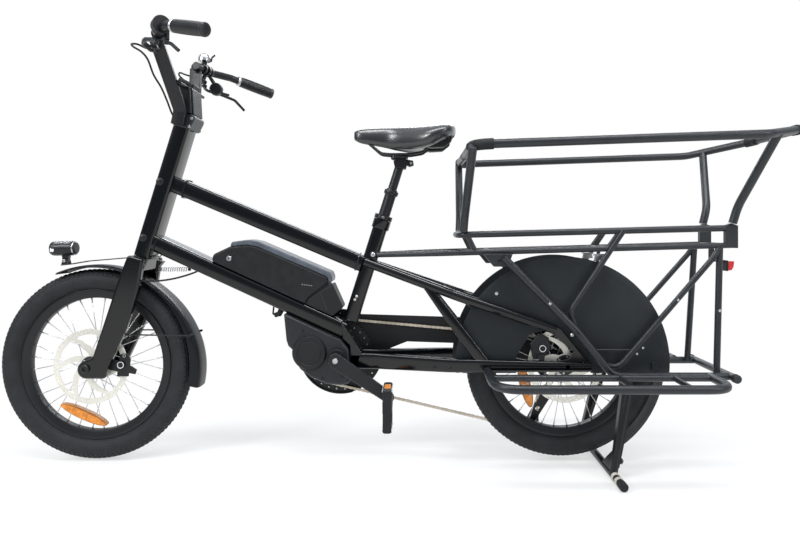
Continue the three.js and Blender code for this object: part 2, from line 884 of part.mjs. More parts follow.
// Side of the rack: the bent carrier tube, the V brace, the stand's bracket and its pin
function rackSide(s) {
  const sideTube = [
    v(gussetX + 15, s * (rackHalf + 18), lowRailFlareZ - 10),
    v(rearAxleX + 19, s * sideTubeY, 366),
    v(rearAxleX + 114, s * sideTubeY, sideTubeZ),
    v(uprightX + 9, s * sideTubeY, sideTubeZ),
  ];
  const brace = [
    deckAt(rackBraceX, s).setY(s * (rackHalf + 5)),
    v(rearAxleX + 6, s * braceY, 415),
    v(rearAxleX + 20, s * braceY, 374),
    v(rearAxleX + 89, s * braceY, 277),
    v(rearAxleX + 132, s * braceY, 266),
    v(rearAxleX + 169, s * braceY, 308),
    v(uprightX - 17, s * (braceY - 5), 558),
    lowAt(uprightX + 2, s),
  ];
  const bracket = [
    [standPivotX - 16, sideTubeZ],
    [standPivotX + 16, sideTubeZ],
    [standPivotX + 12, standPivotZ - 14],
    [standPivotX - 14, standPivotZ - 14],
  ];
  const pinX = rearAxleX + 20;
  return [
    tube(sideTube, sideTubeRadius, { bend: 60, bendSteps: 2, around: 6 }),
    tube(brace, braceRadius, { bend: 26, bendSteps: 1, around: 5 }),
    plate(bracket, s * (sideTubeY - 5), s * (sideTubeY + 5)),
    rod(v(standPivotX, s * sideTubeY, standPivotZ), v(standPivotX, s * (standTopY + 12), standPivotZ), 6, 6, 8),
    rod(v(pinX, s * (dropoutInner + 8.5), 362), v(pinX, s * (sideTubeY + 1), 362), 7, 7, 6),
  ];
}

function dropoutGrown(s) {
  const box = [
    [rearAxleX - 50, beamRearBottom - 2],
    [rearAxleX + 70, beamRearBottom - 2],
    [rearAxleX + 70, rearAxleZ + 110],
    [rearAxleX - 50, rearAxleZ + 110],
  ];
  return plate(box, s * (dropoutInner - 2), s * (dropoutInner + dropoutThickness + seatGap));
}

function mudguardBand(grow) {
  const from = THREE.MathUtils.degToRad(-56);
  const to = THREE.MathUtils.degToRad(150);
  const outer = arc(rearAxleX, rearAxleZ, mudguardRadius + mudguardThickness + grow, from, to, 16);
  const inner = arc(rearAxleX, rearAxleZ, mudguardRadius - grow, to, from, 16);
  return plate([...outer, ...inner], -mudguardHalf - grow, mudguardHalf + grow);
}

// Passenger rails over the deck
function passengerRails() {
  const loop = (s) => [
    v(passengerFrontX, -s * 3, passengerFrontZ),
    v(passengerFrontX, s * passengerHalf, passengerFrontZ),
    v(passengerKinkX, s * passengerHalf, passengerKinkZ),
    v(passengerRearX, s * passengerRearHalf, passengerRearZ),
    v(passengerRearX, -s * 3, passengerRearZ),
  ];
  const parts = [];
  for (const s of sides) {
    parts.push(tube(loop(s), passengerRadius, { bend: 50, bendSteps: 2 }));
    const frontFoot = v(rackFrontX + 12, s * rackHalf, deckFrontZ + 3);
    parts.push(
      tube([frontFoot, v(rackFrontX + 14, s * (rackHalf + 12), deckFrontZ + 45),
        v(
          passengerFrontX,
          s * (passengerHalf - 3),
          passengerFrontZ - 4
        )], passengerRadius, { bend: 60, bendSteps: 1 })
    );
    parts.push(
      tube([v(932, s * rackHalf, 634), v(944, s * (rackHalf + 6), 680),
        v(985, s * 202, 864)], passengerRadius, { bend: 80, bendSteps: 1 })
    );
  }
  const solid = cutSolids(joinSolids(parts), [...grownDeck(), ...sides.map((s) => rearBlock(s, seatGap))]);
  piece("passenger_rails", geometryOf(solid), satin);
}

// The deck's front corners grown by the seat gap
function grownDeck() {
  const z = deckFrontZ;
  return [
    tube(
      [
        v(rackRearX, -rackHalf, deckRearZ),
        v(rackFrontX, -rackHalf, z),
        v(rackFrontX, rackHalf, z),
        v(rackRearX, rackHalf, deckRearZ),
      ],
      railRadius + seatGap,
      { bendSteps: 2 }
    ),
  ];
}

mainFrame();
rack();
passengerRails();
piece("mudguard_rear", mudguardBand(0), plastic);

// Wheel guards beside the rear wheel, open behind the axle plates
function guards() {
  const low = Math.asin((guardFloorZ - guardZ) / guardRadius);
  for (const s of sides) {
    const rim = arc(guardX, guardZ, guardRadius, low, Math.PI - low, 22);
    const open = [
      [rearAxleX - 132, guardFloorZ - overrun],
      [rearAxleX - 132, rearAxleZ + 24],
      [rearAxleX - 96, rearAxleZ + 84],
      [rearAxleX - 34, rearAxleZ + 98],
      [rearAxleX + 58, rearAxleZ + 4],
      [rearAxleX + 66, guardFloorZ - overrun],
    ];
    const tool = plate(open, s * (guardY - overrun), s * (guardY + guardThickness + overrun));
    piece(
      "guard_" + sideNames[s],
      cut([plate(rim, s * guardY, s * (guardY + guardThickness), 0.8)], [tool]),
      plastic
    );
  }
}

// Footrests: a loop each side, carried by the beam and the rack's side tube
function footrests() {
  for (const s of sides) {
    const start = v(footFrontX, s * beamSideY, footZ + 10);
    const outer = [start, v(footFrontX, s * footOuterY, footZ), v(footRearX + 60, s * footOuterY, footZ)];
    outer.push(v(footRearX + 60, s * (sideTubeY + sideTubeRadius + seatGap), footZ));
    const parts = [tube(outer, footRadius, { bend: 70, bendSteps: 2, around: 6 })];
    parts.push(
      tube(
        [v(footFrontX, s * footInnerY, footZ), v(footRearX + 60, s * footInnerY, footZ)],
        footRadius * 0.8,
        { around: 6 }
      )
    );
    for (const x of footCross) {
      parts.push(
        rod(v(x, s * (sideTubeY + sideTubeRadius + seatGap), footZ), v(x, s * footOuterY, footZ), 7, 7, 6)
      );
    }
    const seatCut = cutSolids(joinSolids(parts), [beam(s, seatGap)]);
    const whole = largest(seatCut);
    piece("footrest_" + sideNames[s], geometryOf(whole), satin);
  }
}

// Centre stand: two legs on stub pivots and one foot bar with rubber tips
function stand() {
  const foot = v(standFootX, 0, groundZ + standBarRadius * Math.cos(Math.PI / standBarFacets));
  const parts = [];
  const bore = [];
  for (const s of sides) {
    const top = v(standPivotX, s * standTopY, standPivotZ);
    parts.push(rod(top, v(foot.x, s * standFootY, foot.z), standLegRadius * 1.2, standLegRadius));
    const eye = v(0, s * 7, 0);
    parts.push(rod(top.clone().sub(eye), top.clone().add(eye), 15, 15, 8));
    bore.push(rod(top.clone().addScaledVector(eye, -2), top.clone().addScaledVector(eye, 2), 6.9, 6.9, 8));
  }
  const bar = new THREE.CylinderGeometry(
    standBarRadius,
    standBarRadius,
    2 * standTipY,
    standBarFacets,
    1,
    false,
    Math.PI / standBarFacets
  );
  parts.push(between(bar, v(foot.x, 0, foot.z), v(foot.x, 1, foot.z)));
  piece("stand", cut(parts, bore), satin);
}

// Motor with its round cover, bored for the crank spindle
function motor() {
  const gap = seatGap + 0.2;
  const outline = [
    onTube(399, -downDepth - gap),
    [-248, 331],
    [-243, 316],
    [-226, 300],
    [-214, 256],
    [-183, 233],
    [-140, 214],
    [-100, 210],
    [beamFrontX - gap, 216],
    [beamFrontX - gap - 3, beamFrontTop + 10],
    onDown(downLength - 4, -downDepth - gap),
  ];
  const spindle = (r, from, to) => rod(v(bracketX, from, bracketZ), v(bracketX, to, bracketZ), r, r, 12);
  const parts = [plate(outline, -motorHalf, motorDriveHalf, 5)];
  parts.push(
    rod(
      v(motorCoverX, -motorHalf + 1, motorCoverZ),
      v(motorCoverX, -motorHalf - motorCoverDepth, motorCoverZ),
      motorCoverRadius,
      motorCoverRadius - 4,
      18
    )
  );
  parts.push(spindle(26, -motorHalf - 12, motorDriveHalf + 2));
  piece("motor", cut(parts, [spindle(spindleBore, -80, 80)]), plastic);
}

// Battery on the down tube, with its key lock
function battery() {
  const half = batteryHalf;
  const lift = seatGap;
  const round = Math.min(batteryRound, (batteryRound * downLength) / downFullLength);
  const split = [
    [191, 58],
    [232, 82],
    [256, 88],
    [464, 93],
    [474, 82],
  ];
  const lower = [[162, lift], [158, 19], ...split, [441, 18], [441, lift]].map(([a, b]) => onTube(a, b));
  const sink = 0.5;
  const top = [
    [190, 71],
    [230, 96],
    [254, 102],
    [467, 107],
    [478, 97],
    [482, 84],
    [474, 82 - sink],
    [464, 93 - sink],
    [256, 88 - sink],
    [232, 82 - sink],
    [191, 58 - sink],
  ].map(([a, b]) => onTube(a, b));
  const lock = onTube(lockAlong, lockAbove);
  const lockBore = rod(
    v(lock[0], -half - overrun, lock[1]),
    v(lock[0], -half + lockDepth + seatGap, lock[1]),
    lockRadius + 0.6,
    lockRadius + 0.6,
    12
  );
  piece(
    "battery",
    cut([plate(lower.reverse(), -half, half, round), plate(top, -half, half, round * 0.67)], [lockBore]),
    greyBlue
  );
  const barrel = rod(
    v(lock[0], -half - 1, lock[1]),
    v(lock[0], -half + lockDepth, lock[1]),
    lockRadius,
    lockRadius,
    12
  );
  const keySlot = new THREE.BoxGeometry(2, 5, 8).translate(lock[0], -half - 1, lock[1]);
  piece("battery_lock", cut([barrel], [keySlot]), silver);
  const lockCut = [[442, lift], [442, 17], [484, 82], [538, 35], [522, lift]].map(([a, b]) => onTube(a, b));
  const dock = plate(lockCut, -half + 4, half - 4, round * 0.67);
  piece("battery_dock", cut([dock], frameMembers(seatGap)), plastic);
}

// Caliper body with a round piston cap, straddling a rotor
function caliper(name, axle, outline, at, rotorY, outerY, capDepth, tab) {
  const body = plate(outline, -outerY, -rotorY + caliperInnerHalf, 2.5);
  const capFrom = -outerY + 1;
  const cap = rod(
    v(at[0], capFrom, at[1]),
    v(at[0], -outerY - capDepth, at[1]),
    caliperCapRadius,
    caliperCapRadius - 1,
    16
  );
  const slot = rod(
    v(axle[0], -rotorY - caliperSlot / 2, axle[1]),
    v(axle[0], -rotorY + caliperSlot / 2, axle[1]),
    rotorRadius + 1.4,
    rotorRadius + 1.4,
    30
  );
  piece(name, cut([body, cap, tab], [slot]), satin);
}

function calipers() {
  const x = frontAxleX;
  const z = frontAxleZ;
  const front = [
    [x + 72, z - 26],
    [x + 104, z - 26],
    [x + 110, z + 22],
    [x + 100, z + 34],
    [x + 82, z + 34],
    [x + 76, z + 8],
  ];
  const frontTab = plate(
    [[x + 42, z - 6], [x + 80, z - 14], [x + 84, z + 14], [x + 42, z + 24]],
    -legInner + seatGap,
    -frontRotorY - caliperSlot / 2 - 0.4
  );
  caliper("caliper_front", [x, z], front, [x + 85, z + 6], frontRotorY, legInner - 0.5, 6, frontTab);
  const rx = rearAxleX;
  const rz = rearAxleZ;
  const rear = [
    [rx - 88, rz + 18],
    [rx - 60, rz + 18],
    [rx - 40, rz + 48],
    [rx - 46, rz + 74],
    [rx - 72, rz + 88],
    [rx - 96, rz + 58],
  ];
  const rearTab = plate(
    [[rx - 86, rz + 16.2], [rx - 62, rz + 16.2], [rx - 62, rz + 34], [rx - 86, rz + 34]],
    -beamSideY,
    -guardY - guardThickness - seatGap
  );
  caliper("caliper_rear", [rx, rz], rear, [rx - 63, rz + 46], rearRotorY, rearRotorY + 13, 3, rearTab);
}

// Tail light on its bracket under the deck's rear end
function tailLight() {
  const body = plate(ring(tailLightX, tailLightZ, tailLightRadius, 14), -tailLightHalf, tailLightHalf, 3);
  const armTop = tailLightZ + tailLightRadius + 1;
  const armOutline = [
    [lowCrossX - 6, armTop - 4],
    [lowCrossX - 6, armTop + 43],
    [lowCrossX - 2, armTop + 43],
    [lowCrossX - 2, armTop],
    [tailLightX - 6, armTop],
    [tailLightX - 6, armTop - 4],
  ];
  const arm = plate(armOutline, -tailLightHalf + 10, tailLightHalf - 10);
  const cross = rod(
    v(lowCrossX, -rackHalf, lowRailAt(lowCrossX)),
    v(lowCrossX, rackHalf, lowRailAt(lowCrossX)),
    braceRadius - 1 + seatGap,
    braceRadius - 1 + seatGap,
    6
  );
  piece("tail_light", cut([body, arm], [cross]), red);
}

// Fork with crown, steerer, bladed legs and axle
function fork() {
  const top = headBottomZ - seatGap * 1.5;
  const crownLow = top - crownHeight;
  const crown = [];
  for (const [z, out] of [[top, -crownDepth / 2], [top, crownDepth / 2], [crownLow, crownDepth / 2], [crownLow, -crownDepth / 2]]) {
    const at = onHead(z, 0, out);
    crown.push([at.x, at.z]);
  }
  const outer = legInner + legThickness;
  const parts = [plate(crown, -legInner - 2, legInner + 2, 4)];
  const leg = [
    onHead(top, 0, -crownDepth / 2 - 2),
    onHead(506, 0, -crownDepth / 2 - 6),
    onHead(434, 0, -crownDepth / 2 - 8),
  ].map((at) => [at.x, at.z]);
  leg.push([frontAxleX + 17, frontAxleZ + 30]);
  leg.push(...arc(frontAxleX, frontAxleZ - 4, dropTabRadius, Math.PI * 0.62, Math.PI * 1.5, 4));
  leg.push([frontAxleX + 50, frontAxleZ - 28], [frontAxleX + 58, frontAxleZ + 2]);
  leg.push([frontAxleX + 107, frontAxleZ + 105.4], [frontAxleX + 139, frontAxleZ + 209.4]);
  leg.push([onHead(top, 0, crownDepth / 2 + 2).x, onHead(top, 0, crownDepth / 2 + 2).z]);
  for (const s of sides) {
    parts.push(plate(leg, s * legInner, s * outer, 3));
    parts.push(
      rod(v(frontAxleX, s * (outer - 1), frontAxleZ), v(frontAxleX, s * (outer + 7), frontAxleZ), 11, 9, 12)
    );
  }
  const reach = outer + 2;
  parts.push(
    rod(v(frontAxleX, -reach, frontAxleZ), v(frontAxleX, reach, frontAxleZ), axleRadius, axleRadius, 10)
  );
  const stemTop = headTopZ + stemHeight;
  parts.push(rod(onHead(crownLow + 8), onHead(stemTop - 6), steererRadius, steererRadius, 16));
  const block = onHead(540, 0, crownDepth / 2);
  const lug = [
    [block.x - 4, springZ + 26],
    [block.x - 8, springZ - 8],
    [springFrontX, springZ - 5],
    [springFrontX, springZ + 8],
    [block.x + 14, springZ + 22],
  ];
  parts.push(plate(lug, -10, 10));
  piece("fork", join(parts), gloss);
}

// Stem block clamped round the steerer on top of the head tube
function stem() {
  const low = headTopZ + seatGap * 1.5;
  const outline = [
    [low, -24],
    [low, 30],
    [low + stemHeight - 8, 38],
    [low + stemHeight, 32],
    [low + stemHeight, -26],
  ];
  const points = outline.map(([z, out]) => {
    const at = onHead(z, 0, out);
    return [at.x, at.z];
  });
  const bore = rod(
    onHead(low - overrun),
    onHead(headTopZ + stemHeight - 5),
    steererRadius + 0.7,
    steererRadius + 0.7,
    16
  );
  piece("stem", cut([plate(points, -stemWidth / 2, stemWidth / 2, 5)], [bore]), gloss);
}

// Corners of one bar end from the V arm to the grip
const barBends = { bend: 40, bendSteps: 2, around: 8 };
const barCorners = (s) => [
  v(armTopX - 5, s * barInnerY, armTopZ + 2),
  v(controlX, s * controlY, controlZ),
  v(barBendX, s * barBendY, barBendZ),
  v(barEndX, s * barEndY, barEndZ),
];

// Handlebar: two flat arms in a V, a bridge and the swept bar ends
function handlebar() {
  const parts = [];
  const baseZ = headTopZ + 4;
  for (const s of sides) {
    const base = onHead(baseZ, s * (stemWidth / 2 + armThickness / 2 + seatGap * 1.5));
    const knee = onHead(headTopZ + stemHeight + 4, s * (stemWidth / 2 + armThickness / 2 + 1.5));
    const top = v(armTopX, s * armTopY, armTopZ);
    parts.push(
      flatBar(
        base,
        knee.clone().addScaledVector(knee.clone().sub(base), 0.15),
        armWidth,
        armThickness,
        v(1, 0, 0)
      )
    );
    parts.push(flatBar(knee, top, armWidth, armThickness, v(1, 0, 0)));
    const bar = barCorners(s);
    parts.push(tube(bar, barRadius, barBends));
  }
  const share = 0.44;
  const half = stemWidth / 2 + armThickness / 2 + (armTopY - stemWidth / 2) * share;
  const bridgeZ = headTopZ + stemHeight + (armTopZ - headTopZ - stemHeight) * share;
  const bridgeX = steerX(headTopZ) + 8;
  parts.push(
    flatBar(
      v(bridgeX, -half, bridgeZ),
      v(bridgeX, half, bridgeZ),
      bridgeWidth,
      bridgeThickness,
      v(1, 0, -0.5)
    )
  );
  piece("handlebar", join(parts), satin);
  const tilt = new THREE.Quaternion().setFromAxisAngle(v(0, 1, 0), 0.46);
  const lift = v(0, 0, bridgeThickness / 2 + displayThickness / 2 + 0.4).applyQuaternion(tilt);
  const box = new THREE.BoxGeometry(displayDepth, displayWidth, displayThickness).applyQuaternion(tilt);
  piece("display", box.translate(bridgeX + lift.x, 0, bridgeZ + lift.z), plastic);
}

// Grips closed over the bar ends
function grips() {
  for (const s of sides) {
    const end = v(barEndX, s * barEndY, barEndZ);
    const inward = v(barBendX, s * barBendY, barBendZ).sub(end).normalize();
    const far = end.clone().addScaledVector(inward, -6);
    const length = gripLength - 30;
    const profile = [
      [0, 0],
      [gripRadius - 1, 0],
      [gripRadius + 0.5, 3],
      [gripRadius - 1, 12],
      [gripRadius, length * 0.6],
      [gripRadius - 1.5, length],
      [barRadius + 1, length],
      [barRadius + 1, 5.6],
      [0, 5.6],
    ];
    piece("grip_" + sideNames[s], turned(profile, far, far.clone().add(inward), 10), rubber);
  }
}

// Front mudguard: a band that spirals away from the tyre towards the rear
function frontMudguard() {
  const from = THREE.MathUtils.degToRad(-12);
  const to = THREE.MathUtils.degToRad(112);
  const steps = 12;
  const outer = [];
  const inner = [];
  for (let i = 0; i <= steps; i++) {
    const a = from + ((to - from) * i) / steps;
    const spread = 1 - THREE.MathUtils.smoothstep(a, 0.15, 0.8);
    const open = tyreRadius + mudguardNear + (mudguardFar - mudguardNear) * spread;
    outer.push(
      [
        frontAxleX + (open + mudguardFrontThickness) * Math.cos(a),
        frontAxleZ + (open + mudguardFrontThickness) * Math.sin(a),
      ]
    );
    inner.push([frontAxleX + open * Math.cos(a), frontAxleZ + open * Math.sin(a)]);
  }
  const band = plate([...outer, ...inner.reverse()], -mudguardFrontHalf, mudguardFrontHalf);
  const parts = [band];
  const mid = inner[inner.length - 6];
  for (const s of sides) {
    const eye = v(frontAxleX + 66, s * 46.6, frontAxleZ + 68);
    parts.push(
      tube(
        [eye, v(mid[0] + 60, s * 40, frontAxleZ + 62), v(outer[2][0] - 4, s * 30, outer[2][1])],
        2,
        { around: 6 }
      )
    );
  }
  piece("mudguard_front", join(parts), gloss);
}

// Headlight bracket from the crown, and the lamp on its pivot
function lamp() {
  const front = onHead(544, 0, -crownDepth / 2 - seatGap - 2.2);
  const strip = [
    [front.x, front.z + 8],
    [front.x + 1, front.z - 2],
    [lampPivotX + 64, lampPivotZ - 2],
    [lampPivotX + 14, lampPivotZ - 10.5],
    [lampPivotX - 10, lampPivotZ - 13],
    [lampPivotX - 10, lampPivotZ - 10],
    [lampPivotX + 14, lampPivotZ - 7.5],
    [lampPivotX + 64, lampPivotZ + 1],
    [front.x - 5, front.z + 4],
  ];
  const ears = [
    [lampPivotX - 9, lampPivotZ - 12.5],
    [lampPivotX + 9, lampPivotZ - 10.5],
    [lampPivotX + 5, lampPivotZ + 6],
    [lampPivotX - 5, lampPivotZ + 6],
  ];
  const parts = [plate(strip, -12, 12)];
  for (const s of sides) parts.push(plate(ears, s * 8, s * 11));
  piece("lamp_bracket", join(parts), satin);
  const profile = [
    [0, 0],
    [12, 2],
    [18, 7],
    [20, 14],
    [20, 44],
    [18, 47],
    [18, 62],
    [20, 64],
    [20, 68],
    [0, 69],
  ];
  const tail = v(behindFront(-lampTailReach), 0, lampTailZ);
  const nose = tail.clone().add(v(-1, 0, -0.02));
  const body = turned(profile, tail, nose, 10);
  const footOutline = [
    [lampPivotX - 6, lampPivotZ - 6],
    [lampPivotX + 6, lampPivotZ - 6],
    [lampPivotX + 10, lampPivotZ + 19],
    [lampPivotX - 10, lampPivotZ + 19],
  ];
  const foot = plate(footOutline, -7.6, 7.6);
  piece("headlight", join([body, foot]), satin);
}

// Seat posts, clamp and saddle
function seat() {
  const clampRing = [
    [postBore, 0],
    [postRadius + 9, 0],
    [postRadius + 9, 13],
    [postBore, 13],
    [postBore, 0],
  ];
  piece("seat_clamp", turned(clampRing, onSeat(seatGap), onSeat(overrun), 12), satin);
  const outerPost = [
    [innerPostBore, -postBelow],
    [postRadius, -postBelow],
    [postRadius, postAbove - 12],
    [postRadius + 4, postAbove - 10],
    [postRadius + 4, postAbove],
    [innerPostBore, postAbove],
    [innerPostBore, -postBelow],
  ];
  piece("seatpost_outer", turned(outerPost, onSeat(0), onSeat(1), 12), satin);
  const innerTop = postAbove + innerAbove;
  const shaft = rod(onSeat(postAbove - innerBelow), onSeat(innerTop), innerPostRadius, innerPostRadius, 12);
  const top = onSeat(innerTop);
  const clampHead = plate(
    [
      [top.x - 14, top.z - 10],
      [top.x + 16, top.z - 14],
      [top.x + 20, top.z + 4],
      [top.x + 6, top.z + 14],
      [top.x - 16, top.z + 8],
    ],
    -16,
    16,
    3
  );
  const bed = top.z + railLift - saddleRailRadius - seatGap;
  const cradle = plate(
    [[top.x - 18, bed - 7], [top.x + 22, bed - 7], [top.x + 22, bed], [top.x - 18, bed]],
    -27,
    27
  );
  piece("seatpost_inner", join([shaft, clampHead, cradle]), satin);
  saddle(top);
}

function saddle(top) {
  const stations = 11;
  const around = 12;
  const points = [];
  for (let i = 0; i < stations; i++) {
    const t = i / (stations - 1);
    const x = saddleNoseX + saddleLength * t;
    const wide = 0.19 + 0.81 * THREE.MathUtils.smoothstep(t, 0.3, 0.82);
    const endShare = Math.sqrt(Math.max(0.12, 1 - Math.pow(Math.abs(2 * t - 1), 8)));
    const half = saddleHalfWidth * wide * endShare;
    const rise = 10 * THREE.MathUtils.smoothstep(t, 0.6, 1) + 2 * (1 - t);
    const crown = saddleTopZ + rise - (1 - endShare) * 12;
    const depth = saddleDepth * (0.5 + 0.5 * THREE.MathUtils.smoothstep(t, 0.1, 0.7)) * endShare;
    for (let k = 0; k < around; k++) {
      const a = (2 * Math.PI * k) / around;
      const c = Math.cos(a);
      const upper = Math.sin(a) > 0;
      const y = half * Math.sign(c) * Math.pow(Math.abs(c), 0.7);
      const z = upper ? crown - depth * 0.42 * (1 - Math.sin(a)) : crown - depth * (
        0.42 - 0.58 * Math.sin(a)
      );
      points.push(x, y, z);
    }
  }
  const index = [];
  for (let i = 0; i < stations - 1; i++) {
    for (let k = 0; k < around; k++) {
      const a = i * around + k;
      const b = i * around + ((k + 1) % around);
      index.push(a, b, a + around, b, b + around, a + around);
    }
  }
  const last = (stations - 1) * around;
  for (let k = 1; k < around - 1; k++) {
    index.push(0, k + 1, k, last, last + k, last + k + 1);
  }
  const pad = new THREE.BufferGeometry();
  pad.setAttribute("position", new THREE.BufferAttribute(new Float32Array(points), 3));
  pad.setIndex(index);
  const parts = [pad];
  for (const s of sides) {
    const rail = [
      v(-30, s * 6, 878),
      v(8, s * 22, top.z + railLift),
      v(112, s * 22, top.z + railLift),
      v(150, s * 40, 868),
    ];
    parts.push(tube(rail, saddleRailRadius, { bend: 24, bendSteps: 2, around: 6 }));
  }
  piece("saddle", join(parts), leather);
}

// Cranks, chainring and pedals
const crankTip = v(
  bracketX + crankLength * Math.cos(crankAngle),
  0,
  bracketZ + crankLength * Math.sin(crankAngle)
);
function crankArm(s) {
  const tipX = s < 0 ? crankTip.x : 2 * bracketX - crankTip.x;
  const tipZ = s < 0 ? crankTip.z : 2 * bracketZ - crankTip.z;
  const way = Math.atan2(tipZ - bracketZ, tipX - bracketX);
  const outline = [
    ...arc(bracketX, bracketZ, crankBossRadius, way + Math.PI / 2, way + 1.5 * Math.PI, 5),
    ...arc(tipX, tipZ, crankTipRadius, way - Math.PI / 2, way + Math.PI / 2, 4),
  ];
  const arm = plate(outline, s * crankInnerY, s * (crankInnerY + crankThickness), 3);
  const cap = rod(
    v(bracketX, s * (crankInnerY + crankThickness - 1), bracketZ),
    v(bracketX, s * (crankInnerY + crankThickness + 3), bracketZ),
    11,
    10,
    8
  );
  const axle = rod(
    v(tipX, s * (crankInnerY + 2), tipZ),
    v(tipX, s * (crankInnerY + crankThickness + pedalGap + pedalWidth - 8), tipZ),
    pedalAxleRadius,
    pedalAxleRadius,
    8
  );
  piece("crank_" + sideNames[s], cut([arm, cap, axle], [spindleTool()]), satin);
  pedal(s, tipX, tipZ);
}

const spindleTool = () =>
  rod(
    v(bracketX, -crankInnerY - 10, bracketZ),
    v(bracketX, crankInnerY + 10, bracketZ),
    spindleRadius + 0.7,
    spindleRadius + 0.7,
    12
  );

function pedal(s, x, z) {
  const from = s * (crankInnerY + crankThickness + pedalGap);
  const to = from + s * pedalWidth;
  const halfLong = pedalLength / 2;
  const halfDeep = pedalDepth / 2;
  const drop = pedalDrop;
  const outline = [
    [x - halfDeep, z - halfLong - drop + 6],
    [x - halfDeep + 5, z - halfLong - drop],
    [x + halfDeep - 5, z - halfLong - drop],
    [x + halfDeep, z - halfLong - drop + 6],
    [x + halfDeep, z + halfLong - drop - 6],
    [x + halfDeep - 5, z + halfLong - drop],
    [x - halfDeep + 5, z + halfLong - drop],
    [x - halfDeep, z + halfLong - drop - 6],
  ];
  const bore = rod(
    v(x, from - s * overrun, z),
    v(x, to - s * 5, z),
    pedalAxleRadius + 0.9,
    pedalAxleRadius + 0.9,
    10
  );
  const windows = [];
  for (const way of sides) {
    const midZ = z - drop + way * halfLong * 0.56;
    windows.push(
      new THREE.BoxGeometry(
        pedalDepth + overrun * 2,
        pedalWidth * 0.66,
        halfLong * 0.5
      ).translate(x, (from + to) / 2, midZ)
    );
  }
  piece("pedal_" + sideNames[s], cut([plate(outline, from, to, 2)], [bore, ...windows]), plastic);
}

const pitchRadius = (teeth) => chainPitch / (2 * Math.sin(Math.PI / teeth));
function toothedOutline(x, z, teeth) {
  const tip = pitchRadius(teeth) - chainHalf - 0.5;
  const points = [];
  for (let i = 0; i < teeth; i++) {
    const a = (2 * Math.PI * i) / teeth;
    points.push([x + tip * Math.cos(a), z + tip * Math.sin(a)]);
    const b = a + Math.PI / teeth;
    points.push([x + (tip - 3.4) * Math.cos(b), z + (tip - 3.4) * Math.sin(b)]);
  }
  return points;
}

function chainring() {
  const windows = [];
  const inner = 34;
  const outer = 72;
  for (let k = 0; k < 4; k++) {
    const a = (2 * Math.PI * k) / 4;
    windows.push(
      [
        ...arc(bracketX, bracketZ, outer, a + 0.2, a + 1.35, 2),
        ...arc(bracketX, bracketZ, inner, a + 1.2, a + 0.35, 1),
      ]
    );
  }
  const plateHalf = 1.1;
  const ringPlate = plate(
    toothedOutline(bracketX, bracketZ, chainringTeeth),
    chainY - plateHalf,
    chainY + plateHalf,
    0,
    windows
  );
  const reach = crankInnerY + crankThickness * 0.7;
  const spindle = rod(
    v(bracketX, -reach, bracketZ),
    v(bracketX, reach, bracketZ),
    spindleRadius,
    spindleRadius,
    12
  );
  const spider = rod(
    v(bracketX, chainY - 2, bracketZ),
    v(bracketX, crankInnerY - seatGap, bracketZ),
    22,
    18,
    10
  );
  piece("chainring", join([ringPlate, spindle, spider]), satin);
}

// Sprockets at the rear wheel
function cassette() {
  const parts = [];
  const cogs = [[cogTeeth, chainY], [smallCogTeeth, chainY + 6]];
  for (const [teeth, y] of cogs) parts.push(plate(toothedOutline(rearAxleX, rearAxleZ, teeth), y - 1, y + 1));
  const core = [[9, chainY - 10], [21, chainY - 10], [21, chainY + 10], [9, chainY + 10], [9, chainY - 10]];
  parts.push(turned(core, v(rearAxleX, 0, rearAxleZ), v(rearAxleX, 1, rearAxleZ), 12));
  const bore = rod(
    v(rearAxleX, 20, rearAxleZ),
    v(rearAxleX, 70, rearAxleZ),
    hubRadius + 0.6,
    hubRadius + 0.6,
    12
  );
  piece("cassette", cut(parts, [bore]), silver);
}

// Frame of reference at the controls of one side: out along the bar, hanging below it
function atControls(s, share) {
  const inner = v(armTopX - 5, s * barInnerY, armTopZ + 2);
  const knee = v(controlX, s * controlY, controlZ);
  const out = knee.clone().sub(inner).normalize();
  const hang = v(0, 0, -1).addScaledVector(out, out.z).normalize();
  hang.applyAxisAngle(out, s * 0.3);
  const centre = inner.clone().lerp(knee, share);
  return { centre, out, hang };
}

function barBand(centre, out, width) {
  const inner = barRadius + seatGap + 0.7;
  const closed = [
    [inner, -width / 2],
    [inner + bandWall, -width / 2],
    [inner + bandWall, width / 2],
    [inner, width / 2],
    [inner, -width / 2],
  ];
  return turned(closed, centre, centre.clone().add(out), 10);
}

// Brake levers: clamp with master cylinder, and the blade on its pivot
function brakes() {
  for (const s of sides) {
    const { centre, out, hang } = atControls(s, 0.66);
    const at = (o, h) => centre.clone().addScaledVector(out, o).addScaledVector(hang, h);
    const body = [
      barBand(centre, out, 13),
      rod(at(0, barRadius + 3), at(-4, leverDrop - 10), 6, 7, 6),
      rod(at(-26, leverDrop - 8), at(leverPivotOut - 10, leverDrop - 6), 8, 9, 8),
    ];
    piece("brake_clamp_" + sideNames[s], join(body), satin);
    const drop = leverDrop - 4.4;
    const blade = [
      at(leverPivotOut - 9, drop + 8),
      v(behindFront(223), s * 226, 1062),
      v(behindFront(255), s * 243, 1056),
      v(behindFront(301), s * 266, 1040),
      v(behindFront(325), s * 292, 1012),
    ];
    const parts = [tube(blade, 4.6, { bend: 26, bendSteps: 1, around: 5 })];
    const pivot = at(leverPivotOut - 4.7, drop + 9);
    const across = out.clone().cross(hang).multiplyScalar(6);
    parts.push(rod(pivot.clone().sub(across), pivot.clone().add(across), 5.5, 5.5, 6));
    piece("brake_lever_" + sideNames[s], join(parts), satin);
  }
}

